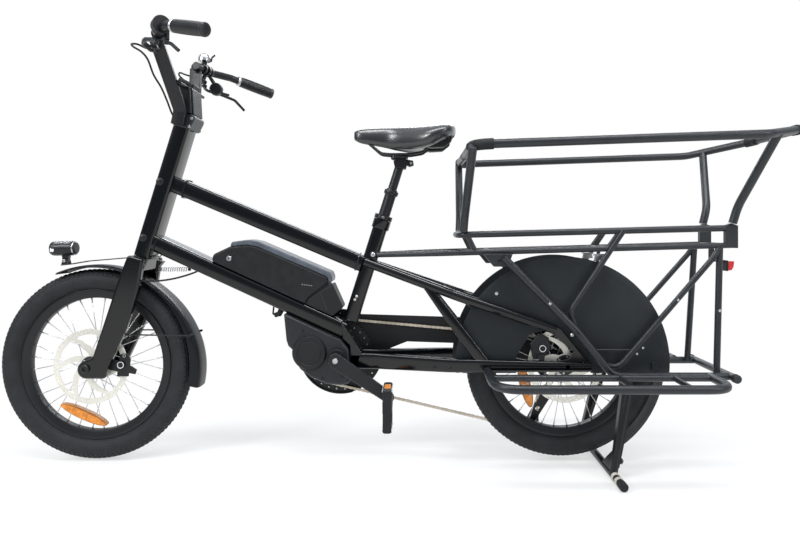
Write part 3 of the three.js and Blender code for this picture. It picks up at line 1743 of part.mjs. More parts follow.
// Control unit and thumb lever on the left, shifter and its lever on the right
function controls() {
  const barTool = (s) =>
    tube(barCorners(s), barRadius + seatGap, barBends);
  const unitAt = v(behindFront(264), -236, controlZ + 4);
  const shell = new THREE.CylinderGeometry(22, 20, 26, 10).applyQuaternion(
    new THREE.Quaternion().setFromUnitVectors(v(0, 1, 0), v(0.62, -0.78, 0).normalize())
  );
  shell.translate(unitAt.x, unitAt.y, unitAt.z);
  const root = v(behindFront(275), -226, controlZ - 33);
  const boss = rod(root.clone().add(v(0, 0, 5.4)), root.clone().add(v(0, 0, 30)), 7, 7, 6);
  piece("control_unit", cut([shell, boss], [barTool(-1)]), plastic);
  const paddle = [root, root.clone().add(v(14, -6, -6)), root.clone().add(v(34, -14, -24))];
  piece(
    "thumb_lever",
    join(
      [
        tube(paddle, 4.5, { bend: 10, bendSteps: 2, around: 6 }),
        rod(root.clone().add(v(0, 0, 5)), root.clone().add(v(0, 0, -5)), 6, 6, 8),
      ]
    ),
    plastic
  );
  const right = atControls(1, 0.84);
  const drumAt = v(shifterX, shifterY, shifterZ);
  const drum = rod(drumAt.clone().add(v(0, -11, 0)), drumAt.clone().add(v(0, 11, 0)), 19, 20, 10);
  const shifterParts = [drum, barBand(right.centre, right.out, 8)];
  shifterParts.push(
    rod(right.centre.clone().add(v(1, 1, -14)), drumAt.clone().add(v(-2, -4, 12)), 5, 6, 8)
  );
  piece("shifter", join(shifterParts), satin);
  const pin = drumAt.clone().add(v(0, 11 + seatGap, 0));
  const thumb = [
    pin.clone().add(v(0, 4, 0)),
    pin.clone().add(v(16, 6, -10)),
    pin.clone().add(v(34, 10, -14)),
  ];
  piece(
    "shift_lever",
    join(
      [
        rod(pin, pin.clone().add(v(0, 8, 0)), 8, 8, 8),
        tube(thumb, 4, { bend: 10, bendSteps: 2, around: 6 }),
      ]
    ),
    plastic
  );
}

// Bell on the right of the bar, and its striker
function bell() {
  const { centre, out } = atControls(1, 0.42);
  const domeAt = centre.clone().add(v(6, 0, 17));
  const dome = turned(
    [[0, 0], [7, 0], [7, 8], [18, 8], [19, 22], [13, 31], [0, 34]],
    domeAt.clone().add(v(0, 0, -4)),
    domeAt.clone().add(v(0, 0, 1)),
    10
  );
  piece("bell", join([barBand(centre, out, bellBand), dome]), satin);
  const post = domeAt.clone().add(v(19.6, 0, 12));
  const striker = [
    post.clone().add(v(0, 0, -8)),
    post.clone().add(v(2, 0, 4)),
    post.clone().add(v(12, 0, 12)),
  ];
  piece("bell_striker", join([tube(striker, 2.6, { bend: 8, bendSteps: 1, around: 6 })]), plastic);
}

// Stabiliser spring between fork and down tube, one unbroken tube of wire
function steeringSpring() {
  const from = springFrontX + seatGap;
  const to = springRearX - seatGap;
  const lead = 2 * springWire;
  const rings = [{ at: v(from, 0, springZ + springRadius), way: v(1, 0, 0) }];
  const total = springTurns * springStations;
  for (let i = 0; i <= total; i++) {
    const a = (2 * Math.PI * i) / springStations;
    const x = from + lead + ((to - from - 2 * lead) * i) / total;
    const way = v(
      (to - from - 2 * lead) / (2 * Math.PI * springTurns),
      springRadius * Math.cos(a),
      -springRadius * Math.sin(a)
    );
    rings.push(
      { at: v(x, springRadius * Math.sin(a), springZ + springRadius * Math.cos(a)), way: way.normalize() }
    );
  }
  rings.push({ at: v(to, 0, springZ + springRadius), way: v(1, 0, 0) });
  const centreLine = rings.map((r) => r.at);
  let least = Infinity;
  for (let i = 0; i < centreLine.length; i++) {
    for (let k = i + springStations - 2; k < centreLine.length; k++) {
      least = Math.min(least, centreLine[i].distanceTo(centreLine[k]) - 2 * springWire);
    }
  }
  console.log("steering_spring least gap to itself " + least.toFixed(2) + " mm");
  piece("steering_spring", ringTube(rings, springWire, springSides), silver);
}

// A closed tube through rings that each have a place and a direction
function ringTube(rings, radius, around) {
  const points = [];
  for (const { at, way } of rings) {
    const out = at.clone().sub(v(at.x, 0, springZ)).normalize();
    const across = out.clone().addScaledVector(way, -way.dot(out)).normalize();
    const third = way.clone().cross(across);
    for (let k = 0; k < around; k++) {
      const a = (2 * Math.PI * k) / around;
      const p = at.clone().addScaledVector(
        across,
        radius * Math.cos(a)
      ).addScaledVector(third, radius * Math.sin(a));
      points.push(p.x, p.y, p.z);
    }
  }
  const index = [];
  for (let i = 0; i < rings.length - 1; i++) {
    for (let k = 0; k < around; k++) {
      const a = i * around + k;
      const b = i * around + ((k + 1) % around);
      index.push(a, b, a + around, b, b + around, a + around);
    }
  }
  const last = (rings.length - 1) * around;
  for (let k = 1; k < around - 1; k++) index.push(0, k + 1, k, last, last + k, last + k + 1);
  const geometry = new THREE.BufferGeometry();
  geometry.setAttribute("position", new THREE.BufferAttribute(new Float32Array(points), 3));
  geometry.setIndex(index);
  return geometryOf(solidOf(geometry));
}

// Brake hoses from the levers to the stem, and the one from down tube to fork
function hoses() {
  for (const s of sides) {
    const master = atControls(s, 0.66);
    const start = master.centre.clone().addScaledVector(
      master.hang,
      leverDrop - 8
    ).addScaledVector(master.out, -26.9);
    const route = [
      [start.x, s * start.y, start.z],
      [start.x - 4, s * start.y - 7, start.z + 1],
      [behindFront(191), 138, 1090],
      [behindFront(171), 146, 1098],
      [behindFront(163), 162, 1094],
      [behindFront(172), 172, 1084],
      [behindFront(191), 170, 1072],
      [behindFront(201), 156, 1056],
      [behindFront(203), 126, 1026],
      [behindFront(209), 92, 1001],
      [behindFront(214), 66, 972],
      [behindFront(216), 46, 950],
      [behindFront(218), 34, 938],
    ];
    const points = route.map(([x, y, z]) => v(x, s * y, z));
    piece("hose_" + sideNames[s], cordTube(points, hoseRadius, 16), rubber);
  }
  const low = [
    [291, -12, 522],
    [277, -14, 515],
    [263, -16, 509],
    [245, -20, 503],
    [223, -27, 497],
    [201, -36, 493],
    [181, -44, 491],
    [167, -50, 491],
    [155, -55, 492],
    [143.5, -58, 492],
  ].map(([x, y, z]) => v(behindFront(x), y, z));
  piece("fork_hose", cut([cordTube(low, hoseRadius, 12)], [frameMembers(seatGap)[2]]), rubber);
}

// A cord of even section along points chosen by hand
function cordTube(points, radius, steps) {
  const path = new THREE.CatmullRomCurve3(points);
  const section = new THREE.Shape(ring(0, 0, radius, 6).map(([x, y]) => new THREE.Vector2(x, y)));
  return new THREE.ExtrudeGeometry(section, { steps, extrudePath: path });
}

// Chain as one closed band of links round chainring, cog and the two pulleys
const guidePulley = [rearAxleX - 31, rearAxleZ - 108];
const tensionPulley = [rearAxleX - 76, rearAxleZ - 182];
function chainPath() {
  const wheels = [
    { x: bracketX, z: bracketZ, r: pitchRadius(chainringTeeth), turn: 1 },
    { x: tensionPulley[0], z: tensionPulley[1], r: pitchRadius(pulleyTeeth), turn: 1 },
    { x: guidePulley[0], z: guidePulley[1], r: pitchRadius(pulleyTeeth), turn: -1 },
    { x: rearAxleX, z: rearAxleZ, r: pitchRadius(cogTeeth), turn: 1 },
  ];
  const legs = wheels.map((a, i) => {
    const b = wheels[(i + 1) % wheels.length];
    const length = Math.hypot(b.x - a.x, b.z - a.z);
    const way = Math.atan2(b.z - a.z, b.x - a.x) + Math.asin((a.r * a.turn - b.r * b.turn) / length);
    const touch = (w) => [w.x + w.r * w.turn * Math.sin(way), w.z - w.r * w.turn * Math.cos(way)];
    return { from: touch(a), to: touch(b), way };
  });
  const path = new THREE.CurvePath();
  legs.forEach((leg, i) => {
    path.add(new THREE.LineCurve(new THREE.Vector2(...leg.from), new THREE.Vector2(...leg.to)));
    const wheel = wheels[(i + 1) % wheels.length];
    const next = legs[(i + 1) % legs.length];
    const start = leg.way - (wheel.turn * Math.PI) / 2;
    let end = next.way - (wheel.turn * Math.PI) / 2;
    while (wheel.turn > 0 && end < start) end += 2 * Math.PI;
    while (wheel.turn < 0 && end > start) end -= 2 * Math.PI;
    path.add(new THREE.EllipseCurve(wheel.x, wheel.z, wheel.r, wheel.r, start, end, wheel.turn < 0));
  });
  return path;
}

function chain() {
  const path = chainPath();
  const links = 2 * Math.round(path.getLength() / chainPitch / 2);
  const outer = [];
  const inner = [];
  const turnAt = (i) => path.getTangentAt(((i + 1) % links) / links).angleTo(path.getTangentAt(i / links));
  for (let i = 0; i < links; i++) {
    const way = path.getTangentAt(i / links);
    const straight = i % 4 > 1 && turnAt(i) < weldTolerance && turnAt(
      (i + links - 2) % links
    ) < weldTolerance;
    if (straight) continue;
    const at = path.getPointAt(i / links);
    const half = i % 2 ? chainHalf : chainWaist;
    outer.push([at.x + way.y * half, at.y - way.x * half]);
    inner.push([at.x - way.y * half, at.y + way.x * half]);
  }
  console.log("chain links " + links + ", length " + path.getLength().toFixed(0) + " mm");
  piece("chain", plate(outer, chainY - chainWidth / 2, chainY + chainWidth / 2, 0, [inner]), silver);
}

// Derailleur: cage plates with two toothed pulleys, knuckle and hanger
function derailleur() {
  const parts = [];
  for (const [x, z] of [guidePulley, tensionPulley]) {
    const tip = (pitchRadius(pulleyTeeth) - chainHalf) * Math.cos(Math.PI / pulleyTeeth) - 0.8;
    const teeth = [];
    for (let i = 0; i < 2 * pulleyTeeth; i++) {
      const a = (Math.PI * i) / pulleyTeeth;
      const r = i % 2 ? tip : tip - 3;
      teeth.push([x + r * Math.cos(a), z + r * Math.sin(a)]);
    }
    parts.push(plate(teeth, chainY - 1, chainY + 1));
    parts.push(rod(v(x, chainY - 7, z), v(x, chainY + 6.4, z), 4.5, 4.5, 6));
  }
  const way = Math.atan2(tensionPulley[1] - guidePulley[1], tensionPulley[0] - guidePulley[0]);
  const cage = [
    ...arc(...guidePulley, 13, way + Math.PI / 2, way + 1.5 * Math.PI, 3),
    ...arc(...tensionPulley, 11, way - Math.PI / 2, way + Math.PI / 2, 3),
  ];
  for (const y of [chainY - 7, chainY + 5]) parts.push(plate(cage, y, y + 1.8));
  const hangerX = rearAxleX + 4;
  parts.push(
    rod(
      v(guidePulley[0], chainY + 6, guidePulley[1]),
      v(guidePulley[0], chainY + 20, guidePulley[1]),
      7,
      7,
      6
    )
  );
  parts.push(
    rod(
      v(guidePulley[0], chainY + 16, guidePulley[1]),
      v(hangerX, chainY + 18, beamRearBottom - 24),
      8,
      9,
      6
    )
  );
  parts.push(
    rod(
      v(hangerX, chainY + 12, beamRearBottom - 22),
      v(hangerX, dropoutInner + dropoutThickness, beamRearBottom - 22),
      10,
      10,
      8
    )
  );
  const hanger = [
    [hangerX - 12, beamRearBottom - 1],
    [hangerX + 12, beamRearBottom - 1],
    [hangerX + 9, beamRearBottom - 32],
    [hangerX - 9, beamRearBottom - 32],
  ];
  parts.push(plate(hanger, dropoutInner, dropoutInner + dropoutThickness - 1));
  piece("derailleur", join(parts), satin);
}

// Chain case outside the chainring, with its rolled rim and two bosses to the motor
function chainCase() {
  const front = arc(bracketX, bracketZ, caseRadius, 0, -1.66 * Math.PI, 16);
  const outline = [[bracketX + 351, 379.5], [bracketX + 325, 306], [bracketX + 188, 310.6], ...front];
  const hole = ring(bracketX, bracketZ, 27, 10);
  const outerY = caseInnerY + caseWall;
  const parts = [plate(outline.reverse(), caseInnerY, outerY, 0, [hole])];
  const rimOuter = arc(bracketX, bracketZ, caseRadius, -1.28, -1.66 * Math.PI, 12);
  const rimInner = arc(bracketX, bracketZ, caseRadius - caseWall, -1.66 * Math.PI, -1.28, 12);
  parts.push(plate([...rimOuter, ...rimInner], caseInnerY - caseRimDepth, caseInnerY + 1));
  for (const [x, z] of [[-205, 344], [-216, 292]]) {
    parts.push(rod(v(x, motorDriveHalf + seatGap, z), v(x, outerY - 1, z), 5.5, 5.5, 6));
  }
  piece("chain_case", join(parts), plastic);
}

guards();
footrests();
stand();
motor();
battery();
calipers();
tailLight();
fork();
stem();
handlebar();
grips();
frontMudguard();
lamp();
seat();
for (const s of sides) crankArm(s);
chainring();
cassette();
chain();
derailleur();
chainCase();
brakes();
controls();
bell();
steeringSpring();
hoses();

bike.updateMatrixWorld(true);
const bounds = new THREE.Box3().setFromObject(bike);
bike.position.set(-(bounds.min.x + bounds.max.x) / 2, 0, -groundZ);

export default bike;
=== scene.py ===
# Looks of the longtail cargo bike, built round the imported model
from math import asin, atan2, copysign, cos, exp, hypot, pi, radians, sin, sqrt, tan

import bmesh
import bpy
from mathutils import Matrix, Vector, geometry


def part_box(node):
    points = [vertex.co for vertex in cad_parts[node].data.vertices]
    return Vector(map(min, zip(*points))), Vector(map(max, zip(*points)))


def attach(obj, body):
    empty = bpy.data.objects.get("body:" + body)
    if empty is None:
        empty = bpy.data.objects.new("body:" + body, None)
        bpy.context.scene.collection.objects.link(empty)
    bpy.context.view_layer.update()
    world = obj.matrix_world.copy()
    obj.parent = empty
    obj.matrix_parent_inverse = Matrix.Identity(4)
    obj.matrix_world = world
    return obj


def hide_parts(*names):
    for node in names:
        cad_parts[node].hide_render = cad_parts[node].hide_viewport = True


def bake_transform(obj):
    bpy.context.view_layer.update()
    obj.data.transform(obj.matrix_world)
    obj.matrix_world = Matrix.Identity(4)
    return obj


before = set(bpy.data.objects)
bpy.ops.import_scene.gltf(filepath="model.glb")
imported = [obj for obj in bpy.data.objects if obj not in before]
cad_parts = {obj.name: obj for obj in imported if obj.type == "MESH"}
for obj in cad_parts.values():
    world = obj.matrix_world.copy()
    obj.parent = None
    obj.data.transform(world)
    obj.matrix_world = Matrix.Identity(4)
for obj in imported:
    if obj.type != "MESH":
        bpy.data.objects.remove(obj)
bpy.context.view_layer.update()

# Main places, in millimetres: axles, bottom bracket, tube directions
MM = 0.001
WHEEL = 262
FRONT = (-775.0, WHEEL * cos(pi / 30))
REAR = (499.0, 268.0)
BRACKET = (-112.0, 283.5)
tyre_low, tyre_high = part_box("tyre_front")
SHIFT = (tyre_low.x + tyre_high.x) * 500 - FRONT[0]
Y = Vector((0, 1, 0))
Z = Vector((0, 0, 1))
BOTH = (-1, 1)
SIDES = ((-1, "left"), (1, "right"))
HEAD = radians(73)
SEAT = radians(72.5)
DOWN = radians(24.7)
TOP = radians(22.9)
DOWN_START = (-599.8, 611)
TOP_START = (-530, 764.3)
SEAT_TOP = (9, 656)
FORK_OFFSET = 39
CHAIN_Y = 48
CHAIN_PITCH = 12.7
SPRING_LOOPS = 12


def v(x, y, z):
    return Vector((x, y, z))


HEAD_WAY = v(cos(HEAD), 0, sin(HEAD))
SEAT_WAY = v(cos(SEAT), 0, sin(SEAT))


def place(p):
    return Vector(((p[0] + SHIFT) * MM, p[1] * MM, p[2] * MM))


def steer_x(z):
    return FRONT[0] + FORK_OFFSET / sin(HEAD) + (z - FRONT[1]) / tan(HEAD)


def on_head(z, y=0.0, out=0.0):
    return v(steer_x(z) + out * sin(HEAD), y, z - out * cos(HEAD))


def on_down(s, h, y=0.0):
    x, z = DOWN_START
    return v(x + s * cos(DOWN) + h * sin(DOWN), y, z - s * sin(DOWN) + h * cos(DOWN))


def on_seat(s, y=0.0):
    return v(SEAT_TOP[0] + s * cos(SEAT), y, SEAT_TOP[1] + s * sin(SEAT))


def on_top(x, drop):
    return v(x - drop * sin(TOP), 0, TOP_START[1] - (x - TOP_START[0]) * tan(TOP) - drop * cos(TOP))


def flat(points):
    return [(p.x, p.z) for p in points]


def smoothstep(x, a, b):
    t = min(1.0, max(0.0, (x - a) / (b - a)))
    return t * t * (3 - 2 * t)


# Paths and sections
def route(corners, bend, steps=8):
    """A path through corners that are rounded to a bend radius."""
    points = [corners[0].copy()]
    for a, b, c in zip(corners, corners[1:], corners[2:]):
        before, after = a - b, c - b
        turn = pi - before.angle(after)
        reach = min(bend * tan(turn / 2), before.length / 2, after.length / 2)
        start, end = b + before.normalized() * reach, b + after.normalized() * reach
        for k in range(steps + 1):
            t = k / steps
            points.append(start * (1 - t) ** 2 + b * (2 * t * (1 - t)) + end * t * t)
    points.append(corners[-1].copy())
    kept = [points[0]]
    for p in points[1:]:
        if (p - kept[-1]).length > 0.05:
            kept.append(p)
    return kept


def curve_through(points, steps=8):
    out = []
    for i in range(len(points) - 1):
        p0, p1, p2 = points[max(i - 1, 0)], points[i], points[i + 1]
        p3 = points[min(i + 2, len(points) - 1)]
        for k in range(steps):
            t = k / steps
            square = (2 * p0 - 5 * p1 + 4 * p2 - p3) * t * t
            out.append(0.5 * ((2 * p1) + (p2 - p0) * t + square + (3 * p1 - p0 - 3 * p2 + p3) * t ** 3))
    out.append(points[-1].copy())
    return out


def sided(side, rows):
    """Points given for the right, taken to a side."""
    return [v(x, side * y, z) for x, y, z in rows]


def heading(points, i):
    return (points[min(i + 1, len(points) - 1)] - points[max(i - 1, 0)]).normalized()


def polar(at, r, a):
    return (at[0] + r * cos(a), at[1] + r * sin(a))


def spot(at, y, r=0.0, a=0.0):
    """A point at an angle and a distance from an axle."""
    x, z = polar(at, r, a)
    return v(x, y, z)


def arc(at, r, start, end, steps):
    return [polar(at, r, start + (end - start) * i / steps) for i in range(steps + 1)]


def ring(at, r, n):
    return arc(at, r, 0, 2 * pi, n)[:-1]


def circle(radius, n):
    return ring((0, 0), radius, n)


def shifted(at, offsets):
    """Side-view points given from one place."""
    return [(at[0] + x, at[1] + z) for x, z in offsets]


def rounded(half_a, half_b, corner, steps=4):
    """A rectangle with round corners."""
    corner = min(corner, half_a - 0.01, half_b - 0.01)
    points = []
    for quarter, (sa, sb) in enumerate(((1, 1), (-1, 1), (-1, -1), (1, -1))):
        start = pi / 2 * quarter
        points += arc((sa * (half_a - corner), sb * (half_b - corner)), corner, start, start + pi / 2, steps)
    return points


def squared(up, way):
    return (up - way * up.dot(way)).normalized()


def around_point(p, way, up, section):
    """A section set square to a direction, its first axis kept near up."""
    a = squared(up, way)
    b = way.cross(a)
    return [p + a * x + b * y for x, y in section]


class Shape:
    """A mesh gathered from tubes, turned pieces and plates, in the part's millimetres."""

    def __init__(self):
        self.v, self.f = [], []

    def add(self, verts, faces):
        n = len(self.v)
        self.v += verts
        self.f += [[n + i for i in f] for f in faces]
        return self

    def rings(self, rings, closed=False):
        n, m = len(rings[0]), len(rings)
        faces = []
        for i in range(m if closed else m - 1):
            a, b = i * n, (i + 1) % m * n
            faces += [[a + k, a + (k + 1) % n, b + (k + 1) % n, b + k] for k in range(n)]
        if not closed:
            faces += [list(range(n))[::-1], [(m - 1) * n + k for k in range(n)]]
        return self.add([p for r in rings for p in r], faces)

    def sweep(self, points, section, up, ends=0.0):
        """A section, or one per point, carried along points; ends rounds its two ends."""
        rings, last = [], len(points) - 1
        steps = [0.0, 0.4, 0.75, 0.95]
        for i, p in enumerate(points):
            way = heading(points, i)
            shape = section(i / max(last, 1)) if callable(section) else section
            if not ends or i not in (0, last):
                rings.append(around_point(p, way, up, shape))
                continue
            for t in steps if i else steps[::-1]:
                shrink = ends * (1 - sqrt(1 - t * t))
                small = [(x * (1 - shrink / hypot(x, y)), y * (1 - shrink / hypot(x, y))) for x, y in shape]
                rings.append(around_point(p + way * ((1 if i else -1) * (t - 1) * ends), way, up, small))
        return self.rings(rings)

    def tube(self, corners, radius, bend=40, steps=8, around=16):
        points = route(corners, bend, steps)

        def steepest(up):
            return max(abs((q - p).normalized().dot(up)) for p, q in zip(points, points[1:]))

        up = Y if steepest(Y) <= 0.9 else v(0.35, 0.12, 0.93).normalized()
        if steepest(up) > 0.97:
            return self.carried(points, radius, around)
        return self.sweep(points, circle(radius, around), up)

    def carried(self, points, radius, around):
        """A round tube whose section turns as little as it can."""
        rings, up = [], heading(points, 0).orthogonal()
        for i, p in enumerate(points):
            up = squared(up, heading(points, i))
            rings.append(around_point(p, heading(points, i), up, circle(radius, around)))
        return self.rings(rings)

    def rod(self, a, b, r1, r2=None, around=20, chamfer=0.6):
        r2 = r1 if r2 is None else r2
        n = (b - a).length
        c = min(chamfer, r1 / 3, r2 / 3, n / 3)
        return self.turned([(0, 0), (r1 - c, 0), (r1, c), (r2, n - c), (r2 - c, n), (0, n)], a, b - a, around)

    def turned(self, profile, at, axis, around=40):
        """A profile of (radius, distance) turned about an axis; closed when its first point repeats."""
        axis = axis.normalized()
        a = axis.orthogonal().normalized()
        b = axis.cross(a)
        verts, faces, n = [], [], len(profile)
        for k in range(around):
            w = 2 * pi * k / around
            way = a * cos(w) + b * sin(w)
            verts += [at + axis * t + way * max(r, 0.0) for r, t in profile]
            p, q = k * n, (k + 1) % around * n
            faces += [[p + i, p + i + 1, q + i + 1, q + i] for i in range(n - 1)]
        return self.add(verts, faces)

    def collar(self, inner, outer, at, axis, around=40):
        """A turned ring: its bore, and its outer profile from end to end."""
        bore = [(inner, outer[0][1])]
        return self.turned(bore + outer + [(inner, outer[-1][1])] + bore, at, axis, around)

    def plate(self, outline, y0, y1, holes=()):
        """A side-view outline with holes, from one y to another."""
        loops = [list(outline)] + [list(h) for h in holes]
        verts, faces, where = [], [], []
        for loop in loops:
            n, at = len(loop), len(verts)
            verts += [v(x, y, z) for y in (y0, y1) for x, z in loop]
            faces += [[at + k, at + (k + 1) % n, at + n + (k + 1) % n, at + n + k] for k in range(n)]
            where += [(at + k, at + n + k) for k in range(n)]
        if len(loops) == 1:
            return self.add(verts, faces + [list(range(n)), list(range(n, 2 * n))[::-1]])
        planes = [[Vector((x, z, 0)) for x, z in loop] for loop in loops]
        points = sum(planes, [])
        for tri in geometry.tessellate_polygon(planes):
            a, b, c = (points[i] for i in tri)
            if abs((b - a).cross(c - a).z) >= 1e-9:
                faces += [[where[i][0] for i in tri], [where[i][1] for i in tri][::-1]]
        return self.add(verts, faces)

    def box(self, at, x, y, z, turn=None):
        """A box with half sides x, y and z, turned by a matrix."""
        turn = turn or Matrix.Identity(3)
        verts = [at + turn @ v(sx * x, sy * y, sz * z) for sx in BOTH for sy in BOTH for sz in BOTH]
        return self.add(verts, [[0, 1, 3, 2], [4, 6, 7, 5], [0, 4, 5, 1], [2, 3, 7, 6], [0, 2, 6, 4], [1, 5, 7, 3]])

    def slab(self, corners, off_a, off_b):
        """Four corners made solid between two offsets."""
        faces = [[0, 1, 2, 3], [7, 6, 5, 4], [0, 4, 5, 1], [1, 5, 6, 2], [2, 6, 7, 3], [3, 7, 4, 0]]
        return self.add([p + off_a for p in corners] + [p + off_b for p in corners], faces)

    def dome(self, at, axis, radius, height, around=24):
        profile = [(radius * cos(pi / 2 * k / 6), height * sin(pi / 2 * k / 6)) for k in range(7)]
        return self.turned([(0, -0.6), (radius, -0.6)] + profile, at, axis, around)

    def bolt(self, at, axis, radius, head):
        """A cap screw with a rounded rim and a six-sided socket."""
        axis = axis.normalized()
        socket, rim_top = (radius * 0.42, head * 0.3), (radius * 0.86, head)
        low = [(radius, head * 0.8), (radius, -0.4), (0, -0.4)]
        self.turned([socket, (radius * 0.46, head), rim_top] + low, at, axis, 24)
        floor = around_point(at + axis * socket[1], axis, axis.orthogonal(), circle(radius * 0.44, 6))
        return self.add(floor, [list(range(6))])

    def bolts(self, x, y, z, radius, head):
        """The same screw on the left and on the right."""
        for side in BOTH:
            self.bolt(v(x, side * y, z), Y * side, radius, head)
        return self

    def bead(self, points, radius):
        """A closed weld bead with a slight ripple along it."""
        fine = []
        for p, q in zip(points, points[1:] + points[:1]):
            n = max(1, int((q - p).length / 1.6))
            fine += [p.lerp(q, k / n) for k in range(n)]
        rings, n = [], 8
        for i, p in enumerate(fine):
            way = (fine[(i + 1) % len(fine)] - fine[i - 1]).normalized()
            ripple = 0.86 + 0.14 * cos(i * pi / 1.5)
            rings.append(around_point(p, way, way.orthogonal(), circle(radius * ripple, n)))
        faces = []
        for i, first in enumerate(rings):
            second = rings[(i + 1) % len(rings)]
            a, b = i * n, (i + 1) % len(rings) * n
            off = min(range(n), key=lambda s: (first[0] - second[s]).length)
            faces += [[a + k, a + (k + 1) % n, b + (k + 1 + off) % n, b + (k + off) % n] for k in range(n)]
        return self.add([p for r in rings for p in r], faces)

    def done(self, name, body, finish, node=None, bevel=0.0, angle=35, segments=3, slot=None):
        """Makes the piece with its finish, edges and body, and hides the node that it stands for; slot is not used."""
        mesh = bpy.data.meshes.new(name)
        mesh.from_pydata([place(p) for p in self.v], [], self.f)
        bm = bmesh.new()
        bm.from_mesh(mesh)
        bmesh.ops.remove_doubles(bm, verts=bm.verts, dist=2e-6)
        bmesh.ops.recalc_face_normals(bm, faces=bm.faces)
        bm.to_mesh(mesh)
        bm.free()
        mesh.materials.append(finish)
        mesh.shade_smooth()
        mesh.set_sharp_from_angle(angle=radians(angle))
        obj = bpy.data.objects.new(name, mesh)
        bpy.context.scene.collection.objects.link(obj)
        if bevel:
            edges = obj.modifiers.new("edges", "BEVEL")
            edges.width = bevel * MM
            edges.segments = segments
            edges.limit_method = "ANGLE"
            edges.angle_limit = radians(angle)
            edges.harden_normals = True
        if node:
            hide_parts(node)
        if body:
            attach(obj, body)
        return obj


def plated(name, body, finish, outline, y0, y1, node=None, holes=(), **looks):
    return Shape().plate(outline, y0, y1, holes).done(name, body, finish, node, **looks)


def lathed(name, body, finish, profile, at, axis, around, node=None, **looks):
    return Shape().turned(profile, at, axis, around).done(name, body, finish, node, **looks)


def node(tree, kind, inputs=None, operation=None):
    """A shader node with plain values or links on its sockets."""
    one = tree.nodes.new(kind)
    if operation:
        one.operation = operation
    for key, value in (inputs or {}).items():
        if isinstance(value, bpy.types.NodeSocket):
            tree.links.new(value, one.inputs[key])
        else:
            one.inputs[key].default_value = value
    return one


def colour_ramp(tree, fac, low, high):
    """Two (position, colour) ends of a ramp."""
    ramp = node(tree, "ShaderNodeValToRGB", {"Fac": fac})
    for element, (position, colour) in zip(ramp.color_ramp.elements, (low, high)):
        element.position = position
        element.color = (*colour, 1)
    return ramp.outputs["Color"]


def material(name, colour, rough, metal=0.0, coat=0.0, coat_rough=0.04, spec=0.5, vary=0.12, patch=14.0,
             grain=900.0, bump=0.04, sheen=0.0, second=None):
    """A surface whose colour, roughness and grain vary by place on the object."""
    mat = bpy.data.materials.new(name)
    mat.use_nodes = True
    tree = mat.node_tree
    shader = tree.nodes["Principled BSDF"]
    for key, value in (("Metallic", metal), ("Specular IOR Level", spec), ("Coat Weight", coat),
                       ("Coat Roughness", coat_rough), ("Sheen Weight", sheen)):
        shader.inputs[key].default_value = value
    where = node(tree, "ShaderNodeTexCoord").outputs["Object"]
    broad = node(tree, "ShaderNodeTexNoise", {"Scale": patch, "Detail": 4, "Vector": where}).outputs["Fac"]
    low = [c * (1 - vary) for c in colour]
    high = [min(1.0, c * (1 + vary)) for c in second or colour]
    tree.links.new(colour_ramp(tree, broad, (0.35, low), (0.65, high)), shader.inputs["Base Color"])
    ends = {"To Min": max(0.02, rough - 0.06), "To Max": min(1.0, rough + 0.06), "Value": broad}
    tree.links.new(node(tree, "ShaderNodeMapRange", ends).outputs["Result"], shader.inputs["Roughness"])
    fine = node(tree, "ShaderNodeTexNoise", {"Scale": grain, "Detail": 2, "Vector": where}).outputs["Fac"]
    lift = node(tree, "ShaderNodeBump", {"Strength": bump, "Distance": 0.001, "Height": fine})
    tree.links.new(lift.outputs["Normal"], shader.inputs["Normal"])
    return mat


def tyre_material(name, centre):
    """Rubber with fine rings pressed into the sidewall round the axle."""
    mat = material(name, (0.0175, 0.0190, 0.0210), 0.66, spec=0.32, vary=0.18, patch=30, grain=1500,
                   bump=0.12)
    tree = mat.node_tree
    lift = next(n for n in tree.nodes if n.type == "BUMP")
    where = node(tree, "ShaderNodeTexCoord").outputs["Object"]
    off = node(tree, "ShaderNodeVectorMath", {0: where, 1: place(spot(centre, 0))}, operation="SUBTRACT")
    side_view = node(tree, "ShaderNodeVectorMath", {0: off.outputs["Vector"], 1: (1, 0, 1)}, operation="MULTIPLY")
    length = node(tree, "ShaderNodeVectorMath", {0: side_view.outputs["Vector"]}, operation="LENGTH")
    scale = node(tree, "ShaderNodeMath", {0: length.outputs["Value"], 1: 2 * pi / 0.0055}, operation="MULTIPLY")
    wave = node(tree, "ShaderNodeMath", {0: scale.outputs["Value"]}, operation="SINE")
    rib = node(tree, "ShaderNodeBump", {"Strength": 0.25, "Distance": 0.0006, "Height": wave.outputs["Value"]})
    tree.links.new(rib.outputs["Normal"], lift.inputs["Normal"])
    return mat


PAINT = material("paint_gloss", (0.0015, 0.0018, 0.0027), 0.2, coat=0.85, coat_rough=0.13, spec=0.12,
                 grain=160, bump=0.003, patch=6)
SATIN = material("satin_black", (0.0085, 0.009, 0.0108), 0.38, spec=0.36, coat=0.12, coat_rough=0.25,
                 grain=1600, bump=0.10)
CHARCOAL = material("powder_coat", (0.0165, 0.0190, 0.0230), 0.36, grain=2200, bump=0.2, patch=20)
PLASTIC = material("moulded_black", (0.0100, 0.0105, 0.0120), 0.48, spec=0.36, grain=2600, bump=0.16)
PANEL = material("panel_black", (0.0120, 0.0155, 0.0185), 0.55, spec=0.34, grain=3000, bump=0.2,
                 patch=9, second=(0.0140, 0.0180, 0.0215))
MOTOR = material("motor_shell", (0.0165, 0.0178, 0.0205), 0.40, spec=0.4, grain=2400, bump=0.25)
BATTERY = material("battery_side", (0.0095, 0.0105, 0.0115), 0.46, spec=0.34, grain=2400, bump=0.2,
                   vary=0.25, patch=45)
# Battery lid: a lighter cover grey, raised well above the case's own colour so that it also paints the light falling on
# the battery's top
BATTERY_LID_LIT = material("battery_cover_painted_light", (0.075, 0.088, 0.108), 0.34, grain=2400, bump=0.12, vary=0.2,
                       patch=35)
